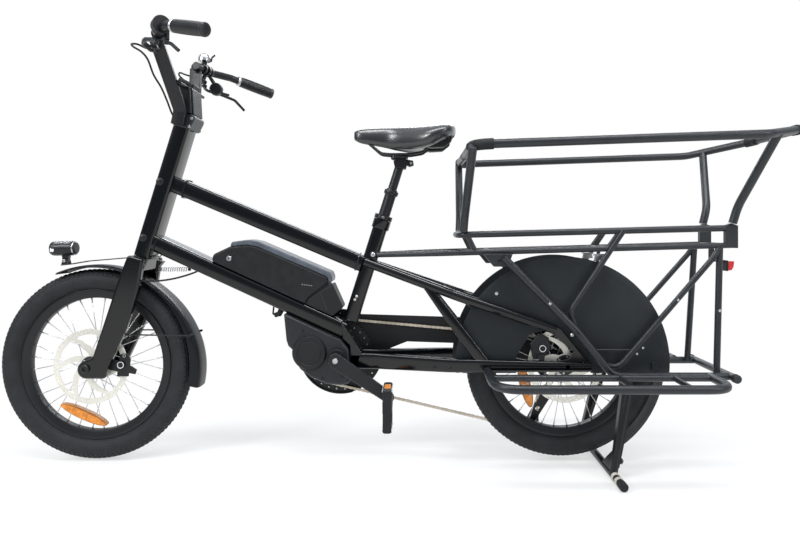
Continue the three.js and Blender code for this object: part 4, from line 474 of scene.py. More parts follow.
FENDER = material("fender_black", (0.0050, 0.0056, 0.0074), 0.36, spec=0.22, coat=0.12, coat_rough=0.12,
                  grain=1800, bump=0.05)
RUBBER = material("rubber_black", (0.0120, 0.0125, 0.0140), 0.62, spec=0.32, grain=1800, bump=0.2)
GRIP = material("grip_rubber", (0.0110, 0.0115, 0.0130), 0.36, spec=0.6, grain=1500, bump=0.12)
LEATHER = material("saddle_skin", (0.0095, 0.0102, 0.0122), 0.3, spec=0.6, coat=0.9, coat_rough=0.30,
                   grain=500, bump=0.02, patch=25, sheen=0.03)
STEEL = material("steel_brushed", (0.60, 0.61, 0.62), 0.3, metal=1.0, grain=1200, bump=0.05, vary=0.08)
SPOKE = material("spoke_steel", (0.66, 0.67, 0.68), 0.3, metal=0.8, bump=0.02)
CHAIN = material("chain_metal", (0.56, 0.50, 0.41), 0.36, metal=0.6, bump=0.06, vary=0.2)
RING = material("ring_black", (0.0110, 0.0115, 0.0130), 0.36, spec=0.45, grain=1500, bump=0.06)
ROTOR = material("rotor_steel", (0.80, 0.78, 0.70), 0.34, metal=0.55, grain=1800, bump=0.06, vary=0.08)
BOLT = material("bolt_silver", (0.66, 0.66, 0.67), 0.3, metal=0.9, bump=0.03)
WHITE = material("ring_white", (0.78, 0.79, 0.80), 0.4, bump=0.03, vary=0.04)
ORANGE = material("reflector_orange", (0.80, 0.27, 0.02), 0.24, coat=0.4, grain=420, bump=0.5, vary=0.22,
                  patch=60)
AMBER = material("reflector_rim", (0.42, 0.16, 0.02), 0.3, coat=0.3, grain=420, bump=0.3, vary=0.2,
                 patch=60)
RED = material("lens_red", (0.62, 0.03, 0.03), 0.18, coat=0.6, grain=380, bump=0.3, patch=60)
LAMP = material("lamp_glass", (0.70, 0.72, 0.74), 0.12, spec=0.6, coat=0.8, grain=300, bump=0.3)
CREAM = material("band_cream", (0.56, 0.53, 0.46), 0.6, bump=0.08, vary=0.2, patch=60)
SCREEN = material("display_glass", (0.006, 0.0065, 0.008), 0.08, coat=1.0, bump=0.0)
TYRES = {"front": tyre_material("tyre_front_rubber", FRONT), "rear": tyre_material("tyre_rear_rubber", REAR)}


# Camera at the photograph's place
FOCAL, WIDE = 634, 800
camera = bpy.data.objects.new("camera", bpy.data.cameras.new("camera"))
camera.data.sensor_width = 36
camera.data.lens = 36 * FOCAL / WIDE
camera.data.shift_x = -12 / WIDE
camera.data.shift_y = -37.5 / WIDE
camera.data.clip_end = 60
camera.location = place(v(90, -1750, 630.7))
camera.rotation_euler = (radians(90), 0, 0)
bpy.context.scene.collection.objects.link(camera)
bpy.context.scene.camera = camera
bpy.context.scene.view_settings.view_transform = "Standard"


# Wheels
TREAD_ROUND, TREAD_REACH, TREAD_HALF = 231.4, 28.0, 29.8


def tread(t):
    """Radius and side place on the tyre's section."""
    return TREAD_ROUND + TREAD_REACH * cos(t), TREAD_HALF * copysign(abs(sin(t)) ** 0.92, sin(t))


def tyre(name, at, body, rubber):
    profile = [tread(radians(-152 + 304 * k / 30)) for k in range(31)]
    profile += [(204.4, 12.0), (204.4, -12.0), profile[0]]
    s = Shape().turned(profile, spot(at, 0), Y, 180)
    rows = ((-57, 4.6, 5.6), (-36, 4.4, 3.6), (-14, 4.0, 4.6), (14, 4.0, 4.6), (36, 4.4, 3.6), (57, 4.6, 5.6))
    count = 118
    for row, (degrees, long, wide) in enumerate(rows):
        t = radians(degrees)
        r, y = tread(t)
        for k in range(count):
            w = 2 * pi * (k + 0.5 * (row % 2)) / count
            out, along_way = v(cos(w), 0, sin(w)), v(-sin(w), 0, cos(w))
            normal = (out * cos(t) + Y * sin(t)).normalized()
            skew = (along_way + along_way.cross(normal) * (0.35 if row % 2 else -0.35)).normalized()
            wide_way = normal.cross(skew)
            centre = spot(at, 0) + out * r + Y * y
            corners = [centre + normal * h + skew * a * long * grow + wide_way * b * wide * grow
                       for h, grow in ((-0.8, 1.0), (0.85, 0.8)) for a, b in ((-1, -1), (1, -1), (1, 1), (-1, 1))]
            s.add(corners, [[4, 5, 6, 7], [0, 1, 5, 4], [1, 2, 6, 5], [2, 3, 7, 6], [3, 0, 4, 7]])
    s.done(name, body, rubber, name, angle=40)


def rim(name, at, body):
    side = [(181, 7), (182, 10.5), (188, 13.2), (199, 15), (203.4, 15.9), (204.8, 15.2), (204.6, 13.8), (200, 12.6),
            (196, 11)]
    profile = [(r, -y) for r, y in side] + [(r, y) for r, y in reversed(side)]
    lathed(name, body, SATIN, profile + profile[:1], spot(at, 0), Y, 144, name, angle=40)
    stem_profile = [(0, 0), (3.4, 0), (3.4, 3), (2.6, 4), (2.6, 24), (3.4, 24.5), (3.4, 34), (2.4, 37), (0, 37.5)]
    way = v(cos(1.2), 0, sin(1.2))
    lathed(name + "_valve", body, RUBBER, stem_profile, spot(at, 0) + way * 181.5, -way, 16)


def hub(name, at, half, flange, body):
    side = [(7.3, half), (13, half), (15, half - 1.5), (15, flange + 3.6), (27.6, flange + 3.2), (29, flange + 1.8),
            (29, flange - 1.8), (27.6, flange - 3.2), (16, flange - 6), (13.2, flange - 12), (12.2, 0)]
    profile = side + [(r, -y) for r, y in reversed(side[:-1])] + side[:1]
    lathed(name + "_shell", body, SATIN, profile, spot(at, 0), Y, 48, name)
    spokes, count = Shape(), 32
    for k in range(count):
        way = 1 if k % 2 else -1
        lean = 1 if k // 2 % 2 else -1
        rim_angle = 2 * pi * (k + 0.5) / count
        root = spot(at, way * flange + lean * 1.75, 26.5, rim_angle + lean * radians(50))
        tip = spot(at, way * 2.2, 181, rim_angle)
        spokes.rod(root, tip, 1.05, 1.0, 8, 0.1)
        spokes.rod(root - Y * way * 3.4, root + Y * way * 0.8, 1.9, 1.9, 8, 0.3)
        spokes.rod(tip.lerp(root, 14 / (tip - root).length), tip, 1.7, 2.1, 8, 0.3)
    spokes.done(name + "_spokes", body, SPOKE, angle=50)


def rotor(name, at, y, body):
    """A brake disc with six curved arms and three rows of holes."""
    inner, core, arms = 86.5, 30, 6
    step = 2 * pi / arms
    outline = [polar(at, 101 + 0.5 * cos(12 * a), a) for a in (2 * pi * k / 180 for k in range(180))]
    holes = [ring(at, 17, 32)]
    twist, bow, splay = 0.62 * step, 0.34, 0.12
    reach = [(t, inner + (core - inner) * t) for t in (i / 8 for i in range(1, 8))]
    for k in range(arms):
        a0, a1 = k * step + 0.13, (k + 1) * step - 0.02
        window = arc(at, inner, a0, a1, 12)
        window += [polar(at, r, a1 - twist * t - bow * t * t) for t, r in reach]
        window += arc(at, core, a1 - twist - bow, a0 - twist + splay, 4)
        window += [polar(at, r, a0 - (twist - splay) * t) for t, r in reach[::-1]]
        holes.append(window)
    for k in range(48):
        for j, r in enumerate((90.5, 94.3, 98.0)):
            if (k + j) % 2 == 0:
                holes.append(ring(polar(at, r, 2 * pi * k / 48 + j * 0.03), 1.55, 8))
    plated(name, body, ROTOR, outline, -y - 0.95, -y + 0.95, name, holes, angle=30)
    carrier = Shape().collar(17, [(25, -1.5), (27, 0), (27, 2.2), (24, 3.4)], spot(at, -y), -Y, 48)
    carrier.done(name + "_carrier", body, SATIN)
    screws = Shape()
    for k in range(arms):
        screws.bolt(spot(at, -y - 3.2, 22, k * step + 0.3), -Y, 2.8, 1.8)
    screws.done(name + "_bolts", body, BOLT)


def reflector(name, centre, angle, length, width, body):
    """A long lens with pointed ends, its rim, and ribs across it."""
    def leaf(grow):
        points = []
        for k in range(48):
            t = 2 * pi * k / 48
            a = (length / 2 - grow) * cos(t)
            b = (width / 2 - grow) * copysign(abs(sin(t)) ** 0.75, sin(t)) * (1 - 0.25 * cos(t) ** 4)
            points.append((centre[0] + a * cos(angle) - b * sin(angle), centre[1] + a * sin(angle) + b * cos(angle)))
        return points

    plated(name, body, AMBER, leaf(0), -10, 7, bevel=2)
    plated(name + "_lens", body, ORANGE, leaf(3.2), -12, 9, bevel=1.6)
    rib = Shape()
    for k in range(-5, 6):
        t = k / 13
        at = v(centre[0] + t * length * cos(angle), -12.3, centre[1] + t * length * sin(angle))
        rib.box(at, 0.8, 0.4, width * (0.30 - 0.4 * t * t), Matrix.Rotation(-angle, 3, "Y"))
    rib.done(name + "_ribs", body, ORANGE)


for word, at, half, flange, rotor_y in (("front", FRONT, 47.6, 27, 42), ("rear", REAR, 67, 30, 57)):
    wheel = word + "_wheel"
    tyre("tyre_" + word, at, wheel, TYRES[word])
    rim("rim_" + word, at, wheel)
    hub("hub_" + word, at, half, flange, wheel)
    rotor("rotor_" + word, at, rotor_y, wheel)
slots = [ring(polar(REAR, 50, k * pi / 6), 5, 16) for k in range(12)]
plated("spoke_guard_disc", "rear_wheel", PLASTIC, ring(REAR, 68, 72), 34.8, 36.2,
       holes=[ring(REAR, 30, 40)] + slots, bevel=0.5)
reflector("reflector_front", (-812, 120.5), radians(-24), 138, 27, "front_wheel")
reflector("reflector_rear", (402, 200), radians(-76), 122, 30, "rear_wheel")


# Main frame
def member(s, points, half_depth, half_width, corner):
    """A box section in a side view; its half depth may be a pair from end to end."""
    start, end = half_depth if isinstance(half_depth, tuple) else (half_depth, half_depth)
    return s.sweep(points, lambda t: rounded(half_width, start + (end - start) * t, corner), Y)


def weld(s, centre, way, half_a, half_b, radius):
    s.bead([centre + way * x + Y * y for x, y in rounded(half_a, half_b, 9, 5)], radius)


def main_frame():
    x, z = REAR
    s = Shape()
    member(s, [on_head(556), on_head(906)], 22, 36, 9)
    s.collar(18.6, [(26, 0), (27, 1), (27, 3)], on_head(906) - HEAD_WAY * 2.6, HEAD_WAY)
    member(s, [on_top(-565, 22.5), on_top(-38, 22.5)], 22.4, 25, 9)
    member(s, [on_down(-20, -21.5), on_down(566, -21.5)], 21.5, 35, 9)
    member(s, [on_seat(-288), on_seat(-66)], 20, 20, 11)
    across = Y.cross(SEAT_WAY)
    walls = ((-66.2, 20, 11), (-2, 20, 11), (-2, 16.4, 16.3), (-66.2, 16.4, 16.3))
    s.rings([[on_seat(h) + Y * a + across * b for a, b in rounded(half, half, corner)]
             for h, half, corner in walls], closed=True)
    s.collar(16.5, [(23.5, -26), (24.5, -24), (24.5, -1), (23.5, 0)], on_seat(0), SEAT_WAY)
    for side in BOTH:
        s.tube(sided(side, ((-38, 18, 541), (220, 80, 450), (468, 80, 366))), 13, 300, 14, 24)
        plan = route(sided(side, ((-76, 30, 0), (-12, 30, 0), (190, 78, 0), (561, 78, 0))), 90)
        rings = []
        for i, p in enumerate(plan):
            across = heading(plan, i).cross(Z)
            t = (p.x + 76) / 637
            top, low = 296 - 16 * t, 252 + 3 * t
            middle = v(p.x, p.y, (top + low) / 2)
            rings.append([middle + across * a + Z * b for a, b in rounded(10, (top - low) / 2, 6)])
        s.rings(rings)
        foot = ((125, 61.5, 485), (170, 69, 423), (215, 74, 363), (278, 78, 279))
        member(s, sided(side, foot), (10.5, 16), 7.5, 5)
    s.done("frame_tubes", "frame", PAINT, "main_frame", angle=30)
    shell = Shape()
    bracket = [(-46, 298), (-58, 252), (-76, 264), (-78, 316)]
    shell.plate(flat([on_down(548, 0)]) + bracket + flat([on_down(572, -41)]), -40, 40)
    drop = shifted(REAR, [(-46, 92), (-30, 105), (-17, 101), (57, 9), (66, -6), (61, -13), (-32, -13), (-30, 14),
                          (2, 20), (18, 38)])
    for side in BOTH:
        shell.plate(drop, side * 74, side * 82)
    shell.box(v(-524, 0, 532), 4, 4, 17)
    shell.done("frame_plates", "frame", PAINT, bevel=2.4, angle=25, segments=4)
    rods = Shape().rod(v(x, -88, z), v(x, 88, z), 6.4)
    rods.rod(v(180, -66, 464), v(180, 66, 464), 8)
    rods.rod(v(180, 0, 464), v(x - 273 * 0.84, 0, z + 273 * 0.52), 6)
    rods.done("frame_bridges", "frame", PAINT)
    nuts = Shape()
    for side in BOTH:
        profile = [(0, 0), (11, 0), (11, 3.4), (9.4, 5.2), (5, 5.4), (4.6, 3), (0, 3)]
        nuts.turned(profile, v(x, side * 81.6, z), Y * side, 32)
    for dx, dz, radius, head in ((41, 8, 4.6, 3), (12, 84, 4.6, 3), (44, -6, 3.4, 2.4)):
        nuts.bolts(x + dx, 81.6, z + dz, radius, head)
    nuts.bolts(-16, 26.4, 561, 6, 3)
    nuts.bolts(-66, 19.8, 438, 3.6, 2).bolts(-61, 19.8, 447, 3.6, 2)
    nuts.done("frame_bolts", "frame", BOLT)
    welds = Shape()
    weld(welds, on_top(-522, 22.5), HEAD_WAY, 24.5, 26, 2.2)
    weld(welds, on_head(588, 0, 22) + v(4, 0, -4), HEAD_WAY, 24.5, 36, 2.2)
    weld(welds, on_top(-50, 22.5), SEAT_WAY, 23.5, 24.4, 2.1)
    welds.done("frame_welds", "frame", PAINT)
    plugs = Shape()
    for px, pz in ((-592.0, 759.0), (-637.3, 606.4)):
        plugs.dome(v(px, -36, pz), -Y, 10.5, 3.4)
    plugs.bolt(v(149, -79.8, 267), -Y, 4.4, 2.6)
    plugs.bolt(v(189, -87.9, 267), -Y, 4.4, 2.6)
    for side in BOTH:
        plugs.rod(v(-16, side * 16.5, 561), v(-16, side * 26.8, 561), 9.5, 9.5, 28, 1.2)
    plugs.done("frame_plugs", "frame", SATIN)


# Rack, passenger rails, footrests and stand
def deck(x, side):
    return v(x, side * 75, 615 + 18 * (x - 214) / 708)


def low_rail(x, side):
    return v(x, side * 75, 566 + 22 * (x - 160) / 783)


def rack():
    s = Shape().tube([deck(922, -1), deck(214, -1), deck(214, 0), deck(214, 1), deck(922, 1)], 8.5, around=18)
    for side in BOTH:
        s.tube([v(-15, side * 14, 560), low_rail(160, side), low_rail(943, side)], 7.5, 200, 10)
        s.rod(deck(236, side), low_rail(259, side), 6.5)
        s.rod(deck(640, side), low_rail(606, side), 6.5)
        s.tube(sided(side, ((330, 93, 556), (518, 103, 366), (613, 103, 248), (912, 103, 248))), 10, 60, around=18)
        brace = ((647, 80, deck(647, side).z), (505, 85.2, 415), (519, 85.2, 374), (588, 85.2, 277), (631, 85.2, 266),
                 (668, 85.2, 308), (886, 80.2, 558))
        s.tube(sided(side, brace) + [low_rail(905, side)], 7.5, 34)
        s.rod(low_rail(903, side), v(888, side * 89, 248), 8.5)
        s.rod(v(643, side * 103, 205), v(643, side * 131, 205), 6)
        s.rod(v(519, side * 82.5, 362), v(519, side * 104, 362), 7)
    for x in (300, 606, 920):
        s.rod(low_rail(x, -1), low_rail(x, 1), 6.5)
    s.rod(v(606, 0, low_rail(606, 1).z), v(600, 0, 268 + 273 * 0.93), 5)
    s.rod(v(918, -140, 248), v(918, 140, 248), 10)
    s.done("rack_tubes", "frame", CHARCOAL, "rack", angle=40)
    plates, caps = Shape(), Shape()
    for side in BOTH:
        plates.plate([(276, 566), (354, 566), (342, 532), (304, 532)], side * 79, side * 93)
        plates.plate([(916, 582), (948, 580), (948, 640), (930, 646), (916, 640)], side * 66, side * 84)
        plates.plate([(627, 248), (659, 248), (655, 191), (629, 191)], side * 98, side * 108)
        caps.rod(v(918, side * 124, 248), v(918, side * 139.9, 248), 11.6, 11.2, 24, 2)
    plates.done("rack_plates", "frame", CHARCOAL, bevel=2.2)
    caps.done("rack_caps", "frame", RUBBER)
    dark = Shape().bolts(318, 92.8, 548, 5, 2.6).bolts(519, 112.4, 362, 4.6, 2.2)
    dark.done("rack_dark_bolts", "frame", SATIN)
    bolts = Shape().bolts(447.5, 108.6, 437.2, 3.6, 1.8).bolts(787, 89.6, 444.5, 3.2, 1.4)
    bolts.bolts(643, 107.8, 205, 5.6, 2.4).bolts(895.5, 90.3, 417, 3.6, 1.6)
    bolts.done("rack_bolts", "frame", BOLT)


def passenger_rails():
    half = [v(236, -235, 833), v(945, -235, 858), v(1092, -110, 888)]
    loop = [v(236, 0, 833)] + half + [v(p.x, -p.y, p.z) for p in half[::-1]] + [v(236, 0, 833)]
    s = Shape().tube(loop, 11, 50, around=20)
    for side in BOTH:
        s.tube(sided(side, ((226, 76.2, 625), (228, 87, 660), (236, 232, 829))), 11, 60, around=20)
        s.tube(sided(side, ((932, 85.4, 646), (944, 88, 690), (985, 202, 864))), 11, 80, around=20)
    s.done("passenger_rail_tubes", "frame", CHARCOAL, "passenger_rails", angle=40)
    soft, path = Shape(), route(loop, 50)
    for side in BOTH:
        for low, high, reach in ((196, 320, 130), (970, 1094, 20)):
            near = [v(min(p.x, 1088.8), p.y, p.z) for p in path if low <= p.x <= high and side * p.y >= reach]
            soft.sweep(near[::-side], circle(13.6, 24), v(0.2, 0.1, 1).normalized(), 2.5)
    soft.done("passenger_rail_sleeves", "frame", RUBBER, angle=50)


def footrests():
    for side, word in SIDES:
        outer = ((288, 89, 258), (288, 246, 249), (860, 246, 249), (860, 113.4, 249))
        s = Shape().tube(sided(side, outer), 11, 70, 10, 20)
        s.tube([v(288, side * 128, 249), v(860, side * 128, 249)], 8.8, around=18)
        for x in (620, 760):
            s.rod(v(x, side * 113.4, 249), v(x, side * 246, 249), 7)
        s.done("footrest_" + word + "_tubes", "frame", CHARCOAL, "footrest_" + word, angle=40)


def stand():
    x, z = 598, 12 * cos(pi / 8)
    s, bands, tips = Shape().rod(v(x, -228, z), v(x, 228, z), 10, 10, 24), Shape(), Shape()
    for side in BOTH:
        top, low = v(643, side * 120, 205), v(x, side * 150, z)
        s.rod(top, low, 12, 10, 24)
        s.collar(7, [(14, -7), (15, -6), (15, 6), (14, 7)], top, Y, 32)
        start = top - (low - top).normalized() * 4
        s.slab([start + v(-17, 0, 0), start + v(15, 0, 0), top.lerp(low, 0.9) + v(9, 0, 0),
                top.lerp(low, 0.94) + v(-8, 0, 0)], Y * 9, Y * -9)
        low_at, high_at = v(x, side * 146, z + 4), top.lerp(low, 0.66)
        web = [high_at, low_at, low_at - Y * side * 70 + v(-2, 0, 0), low_at.lerp(high_at, 0.4) - Y * side * 46]
        s.slab(web, v(-6, 0, 0), v(4, 0, 0))
        s.rod(high_at + v(2, -4, -32), high_at + v(8, 4, -38), 8, 8, 20, 2)
        for y in (163, 190):
            bands.rod(v(x, side * y, z), v(x, side * (y + 13), z), 10.6, 10.6, 24)
        tips.turned([(0, 0), (10.4, 0), (11, 2), (11, 24), (9.6, 27), (0, 27)], v(x, side * 208, z), Y * side, 32)
    s.done("stand_legs", "stand", SATIN, "stand", angle=40)
    bands.done("stand_bands", "stand", CREAM)
    tips.done("stand_tips", "stand", RUBBER)


# Mudguards, guards and chain case
def round_axle(s, at, start, end, steps, section):
    """A section of (radius, y) points, given for an angle, carried round an axle."""
    angles = [start + (end - start) * k / steps for k in range(steps + 1)]
    return s.rings([[spot(at, y, r, a) for r, y in section(a)] for a in angles])


def crown(r, reach, fall):
    """The domed top of a mudguard's section."""
    return [(r - fall * abs(t) ** 4, reach * t) for t in (-1 + i / 6 for i in range(13))]


def mudguard_rear():
    section = crown(276, 36, 2.2) + crown(273.6, 35.6, 2.2)[::-1]
    s = round_axle(Shape(), REAR, radians(-56), radians(150), 64, lambda a: section)
    s.done("mudguard_rear_band", "frame", PLASTIC, "mudguard_rear", angle=40)


def guards():
    centre = (491, 273)
    step, clip = Shape(), Shape()
    for side, word in SIDES:
        low = asin(-25 / 268)
        outline = arc(centre, 268, low, pi - low, 72)
        if side < 0:
            outline += shifted(REAR, [(-132, -20), (-132, 24), (-96, 84), (-34, 98), (58, 4), (66, -20)])
        s = Shape().plate(outline, side * 63.2, side * 66.0, [ring(REAR, 20, 40)] if side > 0 else ())
        low = asin(-25 / 285)
        lip = ((266, 66.05), (267.5, 66.05), (283.6, 64.2), (284.8, 63.6), (284.4, 63.0), (266, 63.0))
        round_axle(s, centre, low, pi - low, 96, lambda a: [(r, side * y) for r, y in lip])
        s.done("guard_" + word + "_panel", "frame", PANEL, "guard_" + word, angle=25)
        step.rod(v(560, side * 84, 313), v(674, side * 84, 313), 2.4, 2.4, 14)
        step.rod(v(560, side * 84, 313), v(552, side * 66.5, 316), 2.4, 2.4, 14)
        clip.plate([(574, 545), (606, 548), (602, 562), (578, 560)], side * 56, side * 60)
        clip.box(v(590, side * 58, 562), 15, 9, 2.2)
    bolts = Shape().bolts(314.4, 66.0, 459.4, 4.4, 1.4)
    for x, z in ((703.6, 314.6), (687.6, 298.7)):
        bolts.dome(v(x, -66.0, z), -Y, 3.2, 1.4)
    bolts.done("guard_bolts", "frame", BOLT)
    step.done("guard_step_wire", "frame", CHARCOAL)
    clip.done("guard_top_clip", "frame", STEEL, bevel=1)
    plated("guard_tab", "frame", PANEL, [(726, 258), (744, 258), (744, 280), (726, 278)], -70, -66.4, bevel=1.2)


def chain_case():
    end = -1.66 * pi
    outline = shifted(BRACKET, [(351, 96), (325, 22.5), (188, 27.1)]) + arc(BRACKET, 120, 0, end, 72)
    hole = ring(BRACKET, 27, 40)
    plated("chain_case_plate", "frame", PLASTIC, outline, 54.5, 57.5, "chain_case", [hole], bevel=0.8)
    edge = round_axle(Shape(), BRACKET, -1.28, end, 72, lambda a: [(117, 47.5), (120, 47.5), (120, 56), (117, 56)])
    for x, z in ((-205, 344), (-216, 292)):
        edge.rod(v(x, 42.3, z), v(x, 56.5, z), 5.5)
    edge.done("chain_case_rim", "frame", PLASTIC)
    rivets = Shape()
    for k in range(22):
        a = -0.4 - 1.5 * pi * k / 22
        rivets.dome(spot(BRACKET, 54.6, 108, a), -Y, 2.4, 1.0, 12)
        rivets.dome(spot(BRACKET, 57.4, 108, a), Y, 2.4, 1.0, 12)
    rivets.done("chain_case_rivets", "frame", STEEL)


def mudguard_front():
    def radius(a):
        return WHEEL + 8.5 + 20.5 * (1 - smoothstep(a, -0.2, 1.0))

    def section(a):
        r = radius(a)
        skirt = r - 3 - (r - 266) * (1 - smoothstep(a, 0.9, 1.25))
        high = [(skirt, -34.9), (r - 4.6, -34.6)] + crown(r + 2.2, 33.2, 4.4) + [(r - 4.6, 34.6), (skirt, 34.9)]
        low = [(skirt, -33.3), (r - 5.2, -33.0)] + crown(r + 0.4, 31.8, 4.4) + [(r - 5.2, 33.0), (skirt, 33.3)]
        return high + low[::-1]

    s = round_axle(Shape(), FRONT, radians(-12), radians(112), 72, section)
    s.done("mudguard_front_band", "steering", FENDER, "mudguard_front", angle=40)
    stays, clips = Shape(), Shape()
    a = radians(-12 + 124 * 17 / 72)
    r = radius(a)
    x, z = FRONT
    for side in BOTH:
        end = spot(FRONT, side * 37.0, r - 9, a)
        corners = ((67, 46.6, 69), (87, 44.5, 84), (120, 42.5, 85.2))
        stays.tube([v(x + dx, side * y, z + dz) for dx, y, dz in corners] + [end], 2, 14, around=12)
        stays.rod(end, spot(FRONT, side * 37.0, r + 1, a), 2)
        clips.rod(spot(FRONT, side * 34, r - 4, a), spot(FRONT, side * 34, r + 5.4, a), 3.6, 3.0)
        clips.box(end, 5, 2.8, 4)
    stays.done("mudguard_front_stays", "steering", SATIN)
    clips.done("mudguard_front_clips", "steering", PLASTIC, bevel=0.8)


# Motor, battery, lock and dock
def down_plate(outline, half):
    """A plate whose outline is measured along and off the down tube."""
    return Shape().plate(flat([on_down(a, b) for a, b in outline]), -half, half)


def motor():
    belly = [(-248, 331), (-243, 316), (-226, 300), (-214, 256), (-183, 233), (-140, 214), (-100, 210), (-76.5, 216),
             (-79.5, 306)]
    outline = flat([on_down(399, -43.5)]) + belly + flat([on_down(568, -43.5)])
    plated("motor_shell", "frame", MOTOR, outline, -50, 42, "motor", bevel=8, angle=30, segments=5)
    centre = (-185, 298.7)
    cap = [(0, 57.6), (30, 57.6), (31, 56.8), (32, 56.8), (33, 57.8), (41, 57.8), (43, 57), (45.5, 53), (47, 49),
           (0, 49)]
    cover = Shape().turned(cap, spot(centre, 0), -Y, 72)
    cover.collar(14, [(25.4, 49), (26, 50), (26, 61), (25, 62)], spot(BRACKET, 0), -Y, 56)
    cover.collar(14, [(26, 41), (26, 43.4), (25.4, 44)], spot(BRACKET, 0), Y, 56)
    cover.done("motor_cover", "frame", PLASTIC)
    start, end = radians(62), radians(132)
    seam = Shape().plate(arc(centre, 51, start, end, 24) + arc(centre, 53, end, start, 24), -50.8, -49)
    seam.plate([(-88, 306), (-84, 301), (-84, 232), (-88, 228)], -50.8, -49)
    seam.done("motor_rib", "frame", MOTOR, bevel=0.5)
    bolts = Shape()
    for x, z in ((-203, 357), (-98, 234), (-226, 290), (-150, 230)):
        bolts.bolt(v(x, -49.9, z), -Y, 4, 1.6)
    bolts.done("motor_bolts", "frame", SATIN)


def battery():
    body = [(162, 0.4), (158, 19), (191, 58), (232, 82), (256, 88), (464, 93), (474, 82), (441, 18), (441, 0.4)]
    lid = [(190, 71), (230, 96), (254, 102), (467, 107), (478, 97), (482, 84), (474, 81.6), (464, 92.6), (256, 87.6),
           (232, 81.6), (191, 57.6)]
    dock = [(442, 0.4), (442, 17), (484, 82), (538, 35), (522, 0.4)]
    filler = [(430, 2), (430, 26), (462, 78), (482, 74), (462, 30), (452, 2)]
    down_plate(body, 38).done("battery_case", "frame", BATTERY, "battery", bevel=7, angle=25, segments=5)
    # The lid takes the lighter colour that paints light from above onto the battery's top
    down_plate(lid, 38).done("battery_lid", "frame", BATTERY_LID_LIT, bevel=4.5, angle=25, segments=5)
    down_plate(dock, 34).done("battery_dock_wedge", "frame", PLASTIC, "battery_dock", bevel=5, angle=25, segments=4)
    barrel = [(0, 0.4), (2.2, 0.4), (2.4, 1.0), (6.2, 1.0), (7, 0.2), (7, -14), (0, -14)]
    lathed("battery_lock_barrel", "battery_lock", STEEL, barrel, on_down(202, 27, -38), -Y, 36, "battery_lock")
    # A near-black sheet over the key slot paints the shade inside the keyhole
    slot = Shape().box(on_down(202, 27, -38.9), 0.9, 0.5, 3.6)
    slot.done("battery_lock_keyhole_shade", "battery_lock", SCREEN)
    down_plate(filler, 31).done("battery_seam", "frame", PLASTIC)
    seam = [on_down(a, b, -38.0) for a, b in ((219, 3), (214, 40), (222, 74))]
    lines = Shape().sweep(seam, rounded(0.5, 0.25, 0.1, 1), Z)
    lines.sweep([on_down(466, 44, -34.0), on_down(500, 12, -34.0)], rounded(0.6, 0.3, 0.1, 1), Z)
    lines.done("battery_lines", "frame", SCREEN)
    dots = Shape()
    for k in range(5):
        dots.dome(on_down(412 + 6 * k, 46 + 2 * k, -38.0), -Y, 1.0, 0.5, 10)
    dots.done("battery_dots", "frame", WHITE)
    port = [(0, 0), (5, 0), (6, 0.8), (6, 1.2), (0, 1.2)]
    lathed("battery_port", "frame", RUBBER, port, on_down(398, 38, -37.9), -Y, 24)


def connector():
    """The plug in front of the motor and its lead into the down tube."""
    at = on_down(386, -43)
    tail = at + v(-9, -12, -17)
    s = Shape().rod(at + v(3, -12, 6), tail, 8, 7.4, 24, 2)
    profile = [(0, -4), (5.6, -4), (6.6, -3), (6.6, 6), (5, 8), (0, 8)]
    s.turned(profile, tail + v(-3, 0, 3), v(-0.9, 0, -0.3), 28)
    s.tube([tail + v(-9, 0, 2), tail + v(-15, 0, 4), at + v(-22, -10, 9)], 2.4, 8, around=12)
    s.done("down_tube_connector", "frame", RUBBER, angle=40)


# Brakes at the axles, lights
def caliper(name, axle, outline, at, y0, y1, cap, body):
    plated(name + "_body", body, SATIN, shifted(axle, outline), y0, y1, name, bevel=3, segments=4)
    centre = spot(shifted(axle, [at])[0], y0 + 0.4)
    lathed(name + "_cap", body, SATIN, [(0, cap), (9, cap), (10, cap - 0.8), (11, 0), (0, 0)], centre, -Y, 40)
    low, high = cap - 0.4, cap + 0.4
    lathed(name + "_ring", body, WHITE, [(7.2, low), (7.4, high), (9, high), (9.2, low), (7.2, low)], centre, -Y, 40)


def calipers():
    x, z = FRONT
    front = [(72, -26), (104, -26), (110, 22), (100, 34), (82, 34), (76, 8)]
    caliper("caliper_front", FRONT, front, (85, 6), -48.5, -44.4, 5.8, "steering")
    lobes = Shape().plate(shifted(FRONT, [(100, -16), (122, -20), (126, -8), (112, 2), (104, 4)]), -48.4, -44.6)
    lobes.rod(v(x + 94, -51.4, z + 30), v(x + 94, -44.6, z + 30), 5.4, 5.4, 24, 0.8)
    lobes.done("caliper_front_lobes", "steering", SATIN, bevel=1.4)
    profile = [(2.6, -0.4), (2.8, 0.5), (4.0, 0.5), (4.2, -0.4), (2.6, -0.4)]
    lathed("caliper_front_small_ring", "steering", STEEL, profile, v(x + 94, -51.2, z + 30), -Y, 28)
    rear = [(-88, 18), (-60, 18), (-40, 48), (-46, 74), (-72, 88), (-96, 58)]
    caliper("caliper_rear", REAR, rear, (-63, 46), -70, -59.4, 2.8, "frame")
    tab = shifted(FRONT, [(42, -6), (80, -14), (84, 14), (42, 24)])
    plated("caliper_front_tab", "steering", SATIN, tab, -48.7, -44.6, bevel=1)
    tab = shifted(REAR, [(-72, 12.4), (-60, 14), (-58, 30), (-78, 30)])
    plated("caliper_rear_tab", "frame", SATIN, tab, -78, -66.6, bevel=1)


